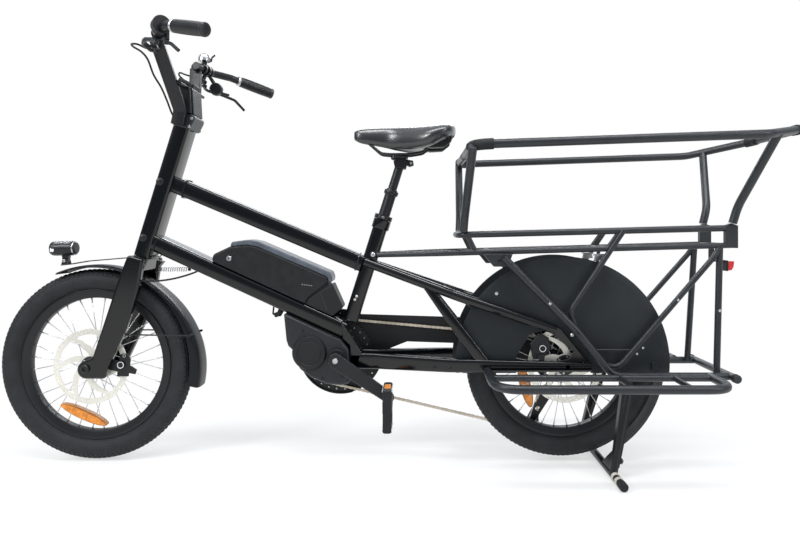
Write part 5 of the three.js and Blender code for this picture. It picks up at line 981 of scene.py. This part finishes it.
def tail_light():
    lens = [(951, 517), (962, 518), (967, 527), (969, 543), (951, 543)]
    shell = [(946, 516), (951.4, 516), (951.4, 544), (946, 544)]
    back = [(914, 541), (914, 586), (918, 586), (918, 545), (955, 545), (955, 541)]
    plated("tail_light_lens", "frame", RED, lens, -23, 23, "tail_light", bevel=2.4, segments=4)
    plated("tail_light_shell", "frame", PLASTIC, shell, -24, 24, bevel=1)
    plated("tail_light_bracket", "frame", PLASTIC, back, -14, 14, bevel=1)


def headlight():
    at, way = v(-834, 0, 578), v(-1, 0, -0.02)
    shell = [(0, 0), (14, 0.6), (17, 3), (18.6, 7), (18.8, 8.6), (20, 10), (20, 60), (19, 66), (17.4, 68.6),
             (16.4, 68.6), (16, 66), (0, 65)]
    glass = [(0, 65.4), (15.4, 65.4), (13, 67.4), (0, 68.2)]
    band = [(18.6, 4.4), (19.2, 5.4), (19.2, 7.2), (18.6, 8.2)]
    lathed("headlight_body", "headlight", SATIN, shell, at, way, 64, "headlight", angle=30)
    lathed("headlight_lens", "headlight", LAMP, glass, at, way, 64)
    Shape().collar(17.6, band, at, way, 64).done("headlight_band", "headlight", STEEL)
    fins = Shape()
    for degrees in (-40, -24, -8, 8, 24, 40):
        w = radians(degrees)
        fins.box(v(-869, 20 * sin(w), 577.4 + 19.6 * cos(w)), 23, 1.5, 0.9, Matrix.Rotation(-w, 3, "X"))
    fins.done("headlight_fins", "headlight", STEEL, bevel=0.4)
    panes, borders, strip = Shape(), Shape(), Shape()
    front = on_head(544, 0, -22.5)
    path = route([v(front.x, 0, front.z + 3), v(-800, 0, 542.5), v(-850, 0, 534), v(-873, 0, 531.6)], 40, 6)
    strip.sweep(path, rounded(12, 1.5, 1.2, 2), Y)
    for side in BOTH:
        turn = Matrix.Rotation(side * 0.14, 3, "X")
        panes.box(v(-893, side * 19.7, 573.4), 5.2, 0.7, 5.4, turn)
        borders.box(v(-893, side * 19.3, 573.2), 7.0, 0.7, 7.4, turn)
        strip.plate([(-873, 530.5), (-855, 532.5), (-859, 549), (-869, 549)], side * 8, side * 11)
    panes.done("headlight_windows", "headlight", LAMP, bevel=0.4)
    borders.done("headlight_window_rims", "headlight", SATIN, bevel=0.4)
    foot = [(-870, 537), (-858, 537), (-854, 562), (-874, 562)]
    plated("headlight_foot", "headlight", SATIN, foot, -7.4, 7.4, bevel=1.4)
    strip.done("lamp_bracket_strip", "steering", SATIN, "lamp_bracket", angle=40)
    Shape().bolts(-864, 10.9, 543, 4.4, 2.4).done("lamp_bracket_bolt", "steering", BOLT)


for build in (main_frame, rack, passenger_rails, footrests, stand, mudguard_rear, guards, chain_case, mudguard_front,
              motor, battery, connector, calipers, tail_light, headlight):
    build()


# Fork, stem and handlebar
def fork():
    x, z = FRONT
    top, low = 555.55, 521.55
    block = [on_head(top, 0, -20), on_head(top, 0, 20), on_head(low, 0, 20), on_head(low, 0, -20)]
    plated("fork_crown", "steering", PAINT, flat(block), -51, 51, "fork", bevel=5, segments=4)
    leg = flat([on_head(top, 0, -22), on_head(506, 0, -26), on_head(434, 0, -28)]) + [(x + 17, z + 30)]
    leg += arc((x, z - 4), 24, pi * 0.62, pi * 1.5, 16)
    leg += [(x + 50, z - 28), (x + 58, z + 2), (-668, 366), (-636, 470)] + flat([on_head(top, 0, 22)])
    cap = [(0, 4), (5, 4), (5.4, 6.6), (8.4, 7), (11, 4.6), (11, 0), (0, 0)]
    legs, caps, marks = Shape(), Shape(), Shape()
    for side in BOTH:
        legs.plate(leg, side * 49, side * 71)
        caps.turned(cap, v(x, side * 70.8, z), Y * side)
        marks.bolt(v(x + 66, side * 46.2, z + 68), -Y * side, 3, 1)
    legs.done("fork_legs", "steering", PAINT, bevel=7, angle=28, segments=6)
    rest = Shape().rod(on_head(540), on_head(938), 17, 17, 32)
    rest.rod(v(x, -74, z), v(x, 74, z), 6.4, 6.4, 24)
    rest.plate([(-611, 545), (-616, 511), (-606, 514), (-606, 527), (-594, 541)], -10, 10)
    rest.done("fork_steerer", "steering", SATIN, angle=30)
    caps.done("fork_axle_caps", "steering", SATIN)
    marks.done("fork_bolts", "steering", BOLT)


def stem():
    corners = ((906.45, -24), (906.45, 27), (937.45, 33), (946.45, 28), (946.45, -26))
    outline = flat([on_head(z, 0, out) for z, out in corners])
    plated("stem_block", "steering", CHARCOAL, outline, -42, 42, "stem", bevel=6, segments=5, slot="frame_paint")
    bolts = Shape()
    for z in (914, 936):
        at = on_head(z, 0, 25)
        bolts.bolts(at.x, 41.8, at.z, 4.0, 2)
    bolts.turned([(0, 2.2), (11, 2.2), (13, 1), (13, 0), (0, 0)], on_head(946.4), HEAD_WAY, 36)
    bolts.done("stem_bolts", "steering", BOLT)


def bar_corners(side):
    return sided(side, ((-548, 122, 1114), (-531, 214, 1113), (-484, 262, 1109), (-374, 335, 1076)))


def handlebar():
    s = Shape()
    for side in BOTH:
        knee = on_head(948, side * 52.0) - v(6, 0, 0)
        path = route([on_head(910, side * 51.2) - v(3, 0, 0), knee, v(-556, side * 147, 1108)], 30, 6)
        s.sweep(path, rounded(17, 8, 4), v(1, 0, 0.1).normalized())
        s.rod(v(-562, side * 136, 1108.5), v(-544, side * 152, 1113), 14, 12, 24, 3)
        s.tube(bar_corners(side), 11, around=22)
    x, z, half = steer_x(906) + 8, 1019.04, 93.76
    s.sweep([v(x, -half, z), v(x, half, z)], rounded(17, 4, 3), v(1, 0, -0.5).normalized())
    s.done("handlebar_frame", "steering", SATIN, "handlebar", angle=30)
    console = Shape()
    outline = flat([on_head(947, 0, -20), on_head(947, 0, 22)]) + [(x + 22, z - 14), (x + 20, z - 5), (x - 14, z + 8)]
    for inset, y0, y1 in (((0, 0), -46, -37), ((4, -1), -36.6, 36.6), ((0, 0), 37, 46)):
        console.plate(shifted(inset, outline), y0, y1)
    console.done("handlebar_console", "steering", SATIN, bevel=3, segments=4)
    turn = Matrix.Rotation(0.46, 3, "Y")
    at = v(x, 0, z) + turn @ v(0, 0, 10.4)
    case = Shape().box(at, 23, 29, 6, turn)
    case.done("display_case", "steering", PLASTIC, "display", bevel=3.4, segments=5)
    glass = Shape().box(at + turn @ v(-1, 0, 5.9), 18, 24, 0.5, turn)
    glass.done("display_glass", "steering", SCREEN, bevel=0.4)


def grips():
    profile = [(0, 0), (12, 0), (14.8, 0.8), (16.4, 3), (16.6, 5), (16.2, 7), (15.6, 8)]
    ribs = 34
    for k in range(ribs):
        swell = 0.7 * sin(pi * k / (ribs - 1))
        profile += [(r + swell, 9 + 3 * k + t) for r, t in ((15.0, 0), (15.9, 0.8), (15.9, 2.0), (15.0, 2.8))]
    profile += [(15.2, 112), (11.4, 112)]
    for side, word in SIDES:
        name = "grip_" + word
        inner, end = bar_corners(side)[2:]
        inward = (inner - end).normalized()
        far = end - inward * 6
        lathed(name + "_sleeve", "steering", GRIP, profile, far, inward, 48, name, angle=30)
        clamp = Shape().collar(11.4, [(15.0, 112), (15.6, 113), (15.6, 118.6), (14.6, 119.8)], far, inward, 48)
        clamp.done(name + "_clamp", "steering", STEEL)
        cap = [(0, 0), (9, 0), (10, 0.4), (10, 1), (0, 1)]
        lathed(name + "_cap", "steering", SATIN, cap, far - inward * 0.3, inward, 36)


def controls_at(side, share):
    """A place on the bar, the way out along it, and the way that a control hangs there."""
    inner, knee = bar_corners(side)[:2]
    out = (knee - inner).normalized()
    hang = (v(0, 0, -1) + out * out.z).normalized()
    return inner.lerp(knee, share), out, Matrix.Rotation(side * 0.3, 3, out) @ hang


def band(s, centre, out, width):
    half = width / 2
    return s.collar(12, [(15.6, -half), (16.5, 1 - half), (16.5, half - 1), (15.6, half)], centre, out)


BLADES = {"left": ((-563, -217, 1082), (-545, -238, 1083), (-519, -264, 1075), (-503, -286, 1058)),
          "right": ((-552, 226, 1062), (-520, 243, 1056), (-474, 266, 1040), (-450, 292, 1012))}


def brakes():
    master = [(0, 0), (7, 0), (8, 1.4), (8.6, 20), (9, 30), (8.4, 33.6), (6, 34.4), (0, 34.4)]
    for side, word in SIDES:
        clamp, lever = "brake_clamp_" + word, "brake_lever_" + word
        centre, out, hang = controls_at(side, 0.66)

        def at(o, h):
            return centre + out * o + hang * h

        def section(t):
            return rounded(4.2 + (2.4 * (1 - t) if side < 0 else 0), 3.2 + 1.2 * (1 - t), 2.6, 3)

        s = band(Shape(), centre, out, 13)
        s.rod(at(0, 14), at(-4, 31), 6, 7, 24)
        s.turned(master, at(-26, 33), at(8, 35) - at(-26, 33), 32)
        s.done(clamp + "_body", "steering", SATIN, clamp, angle=40)
        path = curve_through(route([at(9, 44.6)] + [v(*p) for p in BLADES[word]], 26, 4), 2)
        s = Shape().sweep(path, section, v(0.2, 0, 1).normalized())
        pivot, half = at(13.3, 45.6), out.cross(hang) * 6
        s.rod(pivot - half, pivot + half, 5.5, 5.5, 24)
        s.done(lever + "_blade", lever, SATIN, lever, angle=30)
        Shape().bolt(at(0, -16.0), -hang, 2.6, 1.4).done(clamp + "_bolt", "steering", BOLT)


def controls():
    case = [(0, -12.8), (18.6, -13), (20, -11.6), (22, 11.6), (20.6, 13), (0, 13)]
    s = Shape().turned(case, v(-511, -236, 1117), v(0.62, -0.78, 0), 48)
    s.rod(v(-500, -226, 1085.4), v(-500, -226, 1108), 7, 7, 24)
    s.done("control_unit_shell", "steering", PLASTIC, "control_unit")
    root = v(-500, -226, 1080)
    s = Shape().tube([root, root + v(14, -6, -6), root + v(34, -14, -24)], 4.4, 10)
    s.rod(root + v(0, 0, 5), root - v(0, 0, 5), 6, 6, 24)
    s.done("thumb_lever_paddle", "thumb_lever", PLASTIC, "thumb_lever", angle=40)
    centre, out, _ = controls_at(1, 0.84)
    drum = v(-516, 213, 1063)
    s = Shape().turned([(0, -11), (16, -11), (19, -8), (20, 0), (19.4, 8), (17, 11), (0, 11)], drum, Y, 48)
    band(s, centre, out, 8)
    s.rod(centre + v(1, 1, -14), drum + v(-2, -4, 12), 5, 6)
    s.done("shifter_body", "steering", SATIN, "shifter")
    pin = drum + v(0, 11.3, 0)
    s = Shape().rod(pin, pin + v(0, 8, 0), 8, 8, 28)
    s.tube([pin + v(0, 4, 0), pin + v(16, 6, -10), pin + v(34, 10, -14)], 3.9, 10)
    s.done("shift_lever_paddle", "shift_lever", PLASTIC, "shift_lever", angle=40)
    centre, out, _ = controls_at(1, 0.42)
    bell = centre + v(6, 0, 17)
    s = band(Shape(), centre, out, 9).rod(bell - v(0, 0, 4), bell + v(0, 0, 5), 7, 7, 24)
    s.done("bell_mount", "steering", SATIN, "bell")
    cup = [(0, 29), (5, 28.6), (11, 26.6), (15.6, 22.6), (18, 17), (19, 10), (19, 5), (17.6, 4.4), (17, 5), (0, 5)]
    lathed("bell_dome", "steering", STEEL, cup, bell, Z, 56)
    post = bell + v(19.6, 0, 12)
    s = Shape().tube([post - v(0, 0, 8), post + v(2, 0, 4), post + v(12, 0, 12)], 2.5, 8, around=14)
    s.done("bell_striker_arm", "bell_striker", PLASTIC, "bell_striker")


# Hoses and the steering spring
BAR_HOSE = ((-584, 138, 1090), (-604, 146, 1098), (-612, 162, 1094), (-603, 172, 1084), (-584, 170, 1072),
            (-574, 156, 1056), (-572, 126, 1026), (-566, 92, 1001), (-561, 66, 972), (-559, 46, 950), (-557, 34, 938))
FORK_HOSE = ((-484, -12, 522), (-498, -14, 515), (-512, -16, 509), (-530, -20, 503), (-552, -27, 497),
             (-574, -36, 493), (-594, -44, 491), (-608, -50, 491), (-620, -55, 492), (-631.5, -58, 492))


def hose(name, body, node, points):
    """A hose on a smooth line."""
    path = curve_through(points)
    obj = Shape().carried(path, 2.5, 14).done(name, body, RUBBER, node, angle=60)
    return obj


def bends(obj):
    """Bakes a piece's placement into its mesh."""
    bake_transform(obj)


def hoses():
    for side, word in SIDES:
        centre, out, hang = controls_at(side, 0.66)
        start = centre + hang * 33 - out * 26.9
        points = [start, start + v(-4, side * -7, 1)] + sided(side, BAR_HOSE)
        hose("hose_" + word + "_line", "steering", "hose_" + word, points)
    fork_hose = hose("fork_hose_line", None, "fork_hose", [v(*p) for p in FORK_HOSE])
    bends(fork_hose)


def spring():
    steps = 24 * SPRING_LOOPS
    coil = [v(-605.7, 0, 524.5)]
    for i in range(steps + 1):
        a = 2 * pi * i / 24
        coil.append(v(-603.7 + 73.4 * i / steps, 5.5 * sin(a), 519 + 5.5 * cos(a)))
    coil.append(v(-528.3, 0, 524.5))
    obj = Shape().carried(coil, 1.0, 8).done("steering_spring_coil", None, STEEL, "steering_spring", angle=60)
    bends(obj)


# Posts and saddle
def seat():
    ring_profile = [(23.5, 0), (24.8, 1.2), (24.8, 11.8), (23.5, 12.8)]
    Shape().collar(16.5, ring_profile, on_seat(0.3), SEAT_WAY, 56).done("seat_clamp_ring", "frame", SATIN, "seat_clamp")
    Shape().bolt(on_seat(7, -22), -Y, 4, 3).done("seat_clamp_bolt", "frame", BOLT)
    outer = [(13, -120), (15.8, -120), (15.8, 70), (19, 73), (19.8, 75), (19.8, 82), (18.6, 84), (15, 84.4), (14.6, 88),
             (13, 89), (13, -120)]
    lathed("seatpost_outer_tube", "post_outer", SATIN, outer, on_seat(0), SEAT_WAY, 48, "seatpost_outer")
    s = Shape().rod(on_seat(50), on_seat(160), 12.4, 12.4, 40)
    s.done("seatpost_inner_tube", "post_inner", SATIN, "seatpost_inner")
    top = on_seat(160)
    x, z = top.x, top.z
    s = Shape().plate(shifted((x, z), [(-14, -10), (16, -14), (20, 4), (12, 17), (-14, 17), (-18, 6)]), -16, 16)
    s.box(v(x + 2, 0, z + 18.7), 20, 27, 3.5)
    yoke = [(-25, 26), (-12, 27), (18, 13), (36, 10), (38, -3), (26, -7), (14, 0), (-12, 10), (-25, 14)]
    s.plate(shifted((x, z), yoke), -11, 11)
    s.done("seatpost_head", "post_inner", SATIN, bevel=2.4)
    bolts = Shape().bolts(x - 17, 10.8, z + 20, 3.6, 2.2).bolts(x + 30, 10.8, z + 3, 3.6, 2.2)
    bolts.done("seatpost_bolts", "post_inner", BOLT)
    rails = Shape()
    corners = ((-38, 6, 874), (6, 22, z + 28), (30, 22, z + 26), (86, 22, z + 26), (120, 26, z + 32), (150, 38, 868))
    for side in BOTH:
        rails.tube(sided(side, corners), 3.5, 24, around=14)
    rails.done("saddle_rails", "post_inner", SATIN)


def along(table, x):
    """A value read from a table of (x, value), smoothed over 12 mm."""
    total = 0
    for near in (x - 6, x - 3, x, x + 3, x + 6):
        for (a, p), (b, q) in zip(table, table[1:]):
            if near <= b:
                break
        total += p + (q - p) * min(1, max(0, (near - a) / (b - a)))
    return total / 5


def saddle():
    stations, around = 61, 64
    crest = [(-70, 898), (-60, 903.5), (-40, 906.5), (0, 908.5), (60, 910.5), (110, 912.5), (160, 915), (190, 916.5),
             (204, 914), (210, 906)]
    belly = [(-70, 878), (-62, 870), (-45, 865), (0, 857), (45, 847), (90, 841), (120, 842), (150, 851), (180, 866),
             (202, 880), (210, 890)]
    rings = []
    for i in range(stations):
        t = i / (stations - 1)
        x = -70 + 280 * t
        half = 97.5 * (0.21 + 0.79 * smoothstep(t, 0.28, 0.80)) * sqrt(max(0.03, 1 - abs(2 * t - 1) ** 7))
        top, low = along(crest, x), along(belly, x)
        waist = top - (top - low) * (0.66 - 0.2 * smoothstep(t, 0.6, 0.95))
        groove = 3.6 * smoothstep(t, 0.3, 0.5) * (1 - smoothstep(t, 0.8, 0.93))
        seam = 0.8 * smoothstep(t, 0.06, 0.16) * (1 - smoothstep(t, 0.5, 0.7))
        loop = []
        for across, up in circle(1, around):
            if up >= 0:
                y = half * copysign(abs(across) ** 0.82, across)
                z = waist + (top - waist) * up ** 0.92
                z -= groove * exp(-(y / 9) ** 2) + seam * exp(-((abs(y) - half * 0.8) / 2.4) ** 2)
            else:
                y = half * copysign(abs(across) ** 0.42, across) * (1 - 0.06 * up * up)
                z = waist - (waist - low) * (abs(up) ** 0.8 - 0.42 * smoothstep(-up, 0.86, 1.0))
            loop.append(v(x, y, z))
        rings.append(loop)
    pad = Shape().rings(rings).done("saddle_pad", "post_inner", LEATHER, "saddle", angle=80)
    smooth = pad.modifiers.new("smooth", "SUBSURF")
    smooth.levels = smooth.render_levels = 1
    base = Shape()
    for side in BOTH:
        outline = [(128, 853), (140, 848), (176, 850), (196, 866), (198, 884), (150, 884)]
        base.plate(outline, side * 30, side * 58)
    base.plate([(150, 856), (176, 856), (192, 868), (192, 884), (150, 884)], -31, 31)
    base.done("saddle_bumper", "post_inner", PLASTIC, bevel=3.0, segments=4)


# Cranks, pedals, chain and gears
CRANK_ANGLE = radians(-34.5)
GUIDE = (REAR[0] - 31, REAR[1] - 108)
TENSION = (REAR[0] - 76, REAR[1] - 182)


def half_turn(at, r, way, steps):
    return arc(at, r, way - pi / 2, way + pi / 2, steps)


def cranks():
    for side, word in SIDES:
        name = "crank_" + word
        way = CRANK_ANGLE if side < 0 else CRANK_ANGLE + pi
        tip = polar(BRACKET, 170, way)
        arm = half_turn(BRACKET, 20, way + pi, 20) + half_turn(tip, 15, way, 16)
        plated(name + "_arm", "crank", SATIN, arm, side * 72, side * 86, name, bevel=4, segments=5)
        s = Shape().rod(spot(tip, side * 74), spot(tip, side * 176), 6, 6, 24)
        s.done(name + "_axle", "crank", STEEL)
        big = [(0, 0.4), (3.6, 0.4), (4.0, 2.4), (6.6, 2.6), (7.6, 1.4), (8, -0.2), (0, -0.2)]
        s = Shape().turned(big, spot(BRACKET, side * 85.8), Y * side, 36)
        s.turned([(0, 0.2), (3, 0.2), (3.2, 1), (7, 1), (7.6, 0), (0, 0)], spot(tip, side * 85.8), Y * side, 28)
        s.done(name + "_bolt", "crank", BOLT)
        pedal("pedal_" + word, side, *tip)


def pedal(body, side, x, z):
    middle, low, high = side * 137, z - 63, z + 43
    cage, pins, glow = Shape(), Shape(), Shape()
    outline = [(x - 11, low + 5), (x - 7, low), (x + 7, low), (x + 11, low + 5), (x + 11, high - 5), (x + 7, high),
               (x - 7, high), (x - 11, high - 5)]
    for y in (90, 175):
        cage.plate(outline, side * y, side * (y + 9))
    cage.box(v(x, middle, z - 1), 12, 39, 15)
    for end in (low + 4, high - 4):
        cage.box(v(x, middle, end), 11, 43, 4)
        for way in BOTH:
            for k in range(7):
                y = side * (100 + k * 12.3)
                pins.rod(v(x + way * 10, y, end), v(x + way * 13.4, y, end), 1.9, 1.3, 10)
    for end in (low + 1, high - 1):
        glow.box(v(x, middle, end), 8, 21, 1.6)
    cage.done(body + "_cage", body, PLASTIC, body, bevel=1.8)
    pins.done(body + "_pins", body, STEEL)
    glow.done(body + "_reflectors", body, ORANGE, bevel=0.8)


def pitch_radius(teeth):
    return CHAIN_PITCH / (2 * sin(pi / teeth))


def toothed(at, teeth, tip, root):
    corners = ((-0.16, tip), (0.16, tip), (0.36, root), (0.64, root))
    return [polar(at, r, 2 * pi * (i + share) / teeth) for i in range(teeth) for share, r in corners]


def gears():
    tip = pitch_radius(46) - 4.3
    windows = []
    for k in range(4):
        a = pi / 2 * k
        windows.append(arc(BRACKET, 72, a + 0.2, a + 1.35, 12) + arc(BRACKET, 36, a + 1.2, a + 0.35, 8))
    teeth = toothed(BRACKET, 46, tip, tip - 3.2)
    plated("chainring_teeth", "crank", RING, teeth, 46.9, 49.1, "chainring", windows, angle=30)
    hole = ring(BRACKET, 24, 40)
    plated("chainring_disc", "crank", RING, ring(BRACKET, 83, 96), 44.4, 46.6, holes=[hole], bevel=0.6)
    s = Shape()
    for k in range(24):
        s.dome(spot(BRACKET, 44.4, 77, pi / 12 * k), -Y, 2.0, 0.9, 10)
    s.done("chainring_rivets", "crank", STEEL)
    s = Shape().rod(spot(BRACKET, -80), spot(BRACKET, 80), 12, 12, 32)
    s.collar(12, [(22, 46), (22, 52), (18, 71.7)], spot(BRACKET, 0), Y)
    s.done("chainring_spider", "crank", SATIN)
    for i, (teeth, y) in enumerate(((26, 48), (22, 50.6), (19, 53.2), (16, 55.8))):
        tip = pitch_radius(teeth) - 4.3
        holes = [ring(REAR, 16, 28)]
        if teeth > 18:
            holes += [ring(polar(REAR, tip * 0.66, pi / 4 * k), tip * 0.12, 12) for k in range(8)]
        plated("cassette_cog_" + str(i + 1), "cassette", STEEL, toothed(REAR, teeth, tip, tip - 3.2), y - 0.9, y + 0.9,
               "cassette" if i == 0 else None, holes, angle=30)
    s = Shape().collar(15.8, [(21, -10), (21, 8.6), (19.6, 9.8)], spot(REAR, CHAIN_Y), Y, 48)
    s.done("cassette_core", "cassette", SATIN)


def chain_line():
    """The closed line of the chain: straight runs between its four wheels, and arcs round them."""
    small = pitch_radius(11)
    wheels = [(BRACKET, pitch_radius(46), 1), (TENSION, small, 1), (GUIDE, small, -1), (REAR, pitch_radius(26), 1)]
    legs = []
    for (a, ra, sa), (b, rb, sb) in zip(wheels, wheels[1:] + wheels[:1]):
        dx, dz = b[0] - a[0], b[1] - a[1]
        way = atan2(dz, dx) + asin((ra * sa - rb * sb) / hypot(dx, dz))
        legs.append((polar(a, ra * sa, way - pi / 2), polar(b, rb * sb, way - pi / 2), way))
    path = []
    for i, (start, end, way) in enumerate(legs):
        gap = (end[0] - start[0], end[1] - start[1])
        n = max(2, int(hypot(*gap) / 2))
        path += [(start[0] + gap[0] * k / n, start[1] + gap[1] * k / n) for k in range(n)]
        at, r, turn = wheels[(i + 1) % 4]
        a0, a1 = way - turn * pi / 2, legs[(i + 1) % 4][2] - turn * pi / 2
        while turn * (a1 - a0) < 0:
            a1 += turn * 2 * pi
        path += arc(at, r, a0, a1, max(2, int(abs(a1 - a0) * r)))[:-1]
    return [v(x, CHAIN_Y, z) for x, z in path]


def chain():
    path = chain_line()
    path.append(path[0])
    run = [0.0]
    for p, q in zip(path, path[1:]):
        run.append(run[-1] + (q - p).length)
    links = 2 * round(run[-1] / CHAIN_PITCH / 2)
    pins, j = [], 0
    for i in range(links):
        d = run[-1] * i / links
        while run[j + 1] < d:
            j += 1
        pins.append(path[j].lerp(path[j + 1], (d - run[j]) / (run[j + 1] - run[j])))
    s = Shape()
    for i, p in enumerate(pins):
        q = pins[(i + 1) % links]
        way, middle = q - p, p.lerp(q, 0.5)
        angle = atan2(way.z, way.x)
        up = v(-sin(angle), 0, cos(angle)) * 2.7
        outline = half_turn((p.x, p.z), 3.7, angle + pi, 6) + flat([middle - up])
        outline += half_turn((q.x, q.z), 3.7, angle, 6) + flat([middle + up])
        reach = 3.2 if i % 2 else 2.1
        for y in (CHAIN_Y - reach, CHAIN_Y + reach):
            s.plate(outline, y - 0.42, y + 0.42)
        s.rod(p - Y * 3.45, p + Y * 3.45, 1.7, 1.7, 8, 0.1)
        s.rod(p - Y * 1.6, p + Y * 1.6, 3.0, 3.0, 10, 0.1)
    s.done("chain_links", "frame", CHAIN, "chain", angle=40)


def derailleur():
    x = REAR[0]
    s = Shape()
    way = atan2(TENSION[1] - GUIDE[1], TENSION[0] - GUIDE[0])
    cage = half_turn(GUIDE, 13, way + pi, 14) + half_turn(TENSION, 11, way, 14)
    middle = ((GUIDE[0] + TENSION[0]) / 2, (GUIDE[1] + TENSION[1]) / 2)
    for y in (41, 53):
        s.plate(cage, y, y + 1.8, [ring(middle, 7, 20)])
    s.rod(spot(GUIDE, 54), spot(GUIDE, 68), 8, 8, 32)
    s.rod(spot(GUIDE, 63), v(x + 4, 66, 231), 8, 9, 28)
    s.rod(v(x + 4, 60, 233), v(x + 4, 82, 233), 10, 10, 32)
    s.done("derailleur_body", "frame", SATIN, "derailleur")
    hanger = [(x - 8, 254), (x + 16, 254), (x + 13, 223), (x - 5, 223)]
    plated("derailleur_hanger", "frame", SATIN, hanger, 74, 81, bevel=1.6)
    s = Shape()
    tip = pitch_radius(11) - 4.9
    for at in (GUIDE, TENSION):
        s.plate(toothed(at, 11, tip, tip - 3), 47, 49)
        s.turned([(0, 41), (4, 41), (4.5, 41.6), (4.5, 54.2), (0, 54.4)], spot(at, 0), Y, 20)
    s.done("derailleur_pulleys", "frame", PLASTIC)


for build in (fork, stem, handlebar, grips, brakes, controls, hoses, spring, seat, saddle, cranks, gears, chain,
              derailleur):
    build()


# Floor, sky and lamps
def pale(name, colour, near_share):
    """A pale surface that keeps the object's shadow and turns plain white away from the object."""
    mat = bpy.data.materials.new(name)
    mat.use_nodes = True
    tree = mat.node_tree
    tree.nodes.clear()
    rays = node(tree, "ShaderNodeLightPath")
    seen = rays.outputs["Is Camera Ray"]
    for kind in ("Is Glossy Ray", "Is Transmission Ray"):
        seen = node(tree, "ShaderNodeMath", {0: seen, 1: rays.outputs[kind]}, operation="MAXIMUM").outputs["Value"]
    where = node(tree, "ShaderNodeTexCoord").outputs["Object"]
    oval = node(tree, "ShaderNodeVectorMath", {0: where, 1: (0.62, 1.15, 0)}, operation="MULTIPLY")
    length = node(tree, "ShaderNodeVectorMath", {0: oval.outputs["Vector"]}, operation="LENGTH")
    ends = {"Value": length.outputs["Value"], "From Min": 0.35, "From Max": 1.0, "To Min": near_share, "To Max": 1.0}
    fade = node(tree, "ShaderNodeMapRange", ends)
    fade.interpolation_type = "SMOOTHSTEP"
    share = node(tree, "ShaderNodeMath", {0: seen, 1: fade.outputs["Result"]}, operation="MULTIPLY")
    diffuse = node(tree, "ShaderNodeBsdfDiffuse", {"Color": (*colour, 1)}).outputs["BSDF"]
    glow = node(tree, "ShaderNodeEmission", {"Color": (1, 1, 1, 1)}).outputs["Emission"]
    mix = node(tree, "ShaderNodeMixShader", {"Fac": share.outputs["Value"], 1: diffuse, 2: glow})
    node(tree, "ShaderNodeOutputMaterial", {"Surface": mix.outputs["Shader"]})
    return mat


FLOOR_Z = -0.0008
floor_mesh = bpy.data.meshes.new("floor")
floor_mesh.from_pydata([(x, y, FLOOR_Z) for x, y in ((-14, -6), (14, -6), (14, 16), (-14, 16))], [], [[0, 1, 2, 3]])
floor = bpy.data.objects.new("floor", floor_mesh)
floor_mesh.materials.append(pale("floor_white", (0.82, 0.82, 0.82), 0.55))
bpy.context.scene.collection.objects.link(floor)

world = bpy.data.worlds.new("sky")
bpy.context.scene.world = world
world.use_nodes = True
sky = world.node_tree
sky.nodes.clear()
axes = node(sky, "ShaderNodeSeparateXYZ", {"Vector": node(sky, "ShaderNodeTexCoord").outputs["Generated"]})
height = colour_ramp(sky, axes.outputs["Z"], (0.10, (0.16, 0.175, 0.195)), (0.75, (0.66, 0.70, 0.76)))
behind = node(sky, "ShaderNodeMapRange", {"Value": axes.outputs["Y"], "From Min": 0.25, "From Max": 0.8})
behind.interpolation_type = "SMOOTHSTEP"
backdrop = node(sky, "ShaderNodeMix")
backdrop.data_type = "RGBA"
sky.links.new(behind.outputs["Result"], backdrop.inputs["Factor"])
sky.links.new(height, backdrop.inputs["A"])
backdrop.inputs["B"].default_value = (0.86, 0.90, 0.95, 1)
around = node(sky, "ShaderNodeBackground", {"Color": backdrop.outputs["Result"], "Strength": 1.0}).outputs["Background"]
plain = node(sky, "ShaderNodeBackground", {"Color": (1, 1, 1, 1), "Strength": 1.0}).outputs["Background"]
seen = node(sky, "ShaderNodeLightPath").outputs["Is Camera Ray"]
mix = node(sky, "ShaderNodeMixShader", {"Fac": seen, 1: around, 2: plain})
node(sky, "ShaderNodeOutputWorld", {"Surface": mix.outputs["Shader"]})


def lamp(name, at, target, size, size_y, power):
    data = bpy.data.lights.new(name, "AREA")
    data.shape = "RECTANGLE"
    data.size, data.size_y, data.energy = size, size_y, power
    obj = bpy.data.objects.new(name, data)
    obj.location = at
    obj.rotation_euler = (Vector(target) - Vector(at)).to_track_quat("-Z", "Y").to_euler()
    bpy.context.scene.collection.objects.link(obj)


lamp("lamp_top", (0.0, -0.9, 3.2), (0, 0, 0.5), 3.6, 0.5, 80)
lamp("lamp_key", (-2.9, -2.2, 2.5), (-0.2, 0, 0.5), 0.9, 0.9, 60)
lamp("lamp_side", (2.9, -2.0, 1.9), (0.2, 0, 0.5), 0.5, 1.4, 26)
lamp("lamp_back", (0.2, 2.9, 2.5), (0, 0, 0.5), 3.0, 0.6, 42)
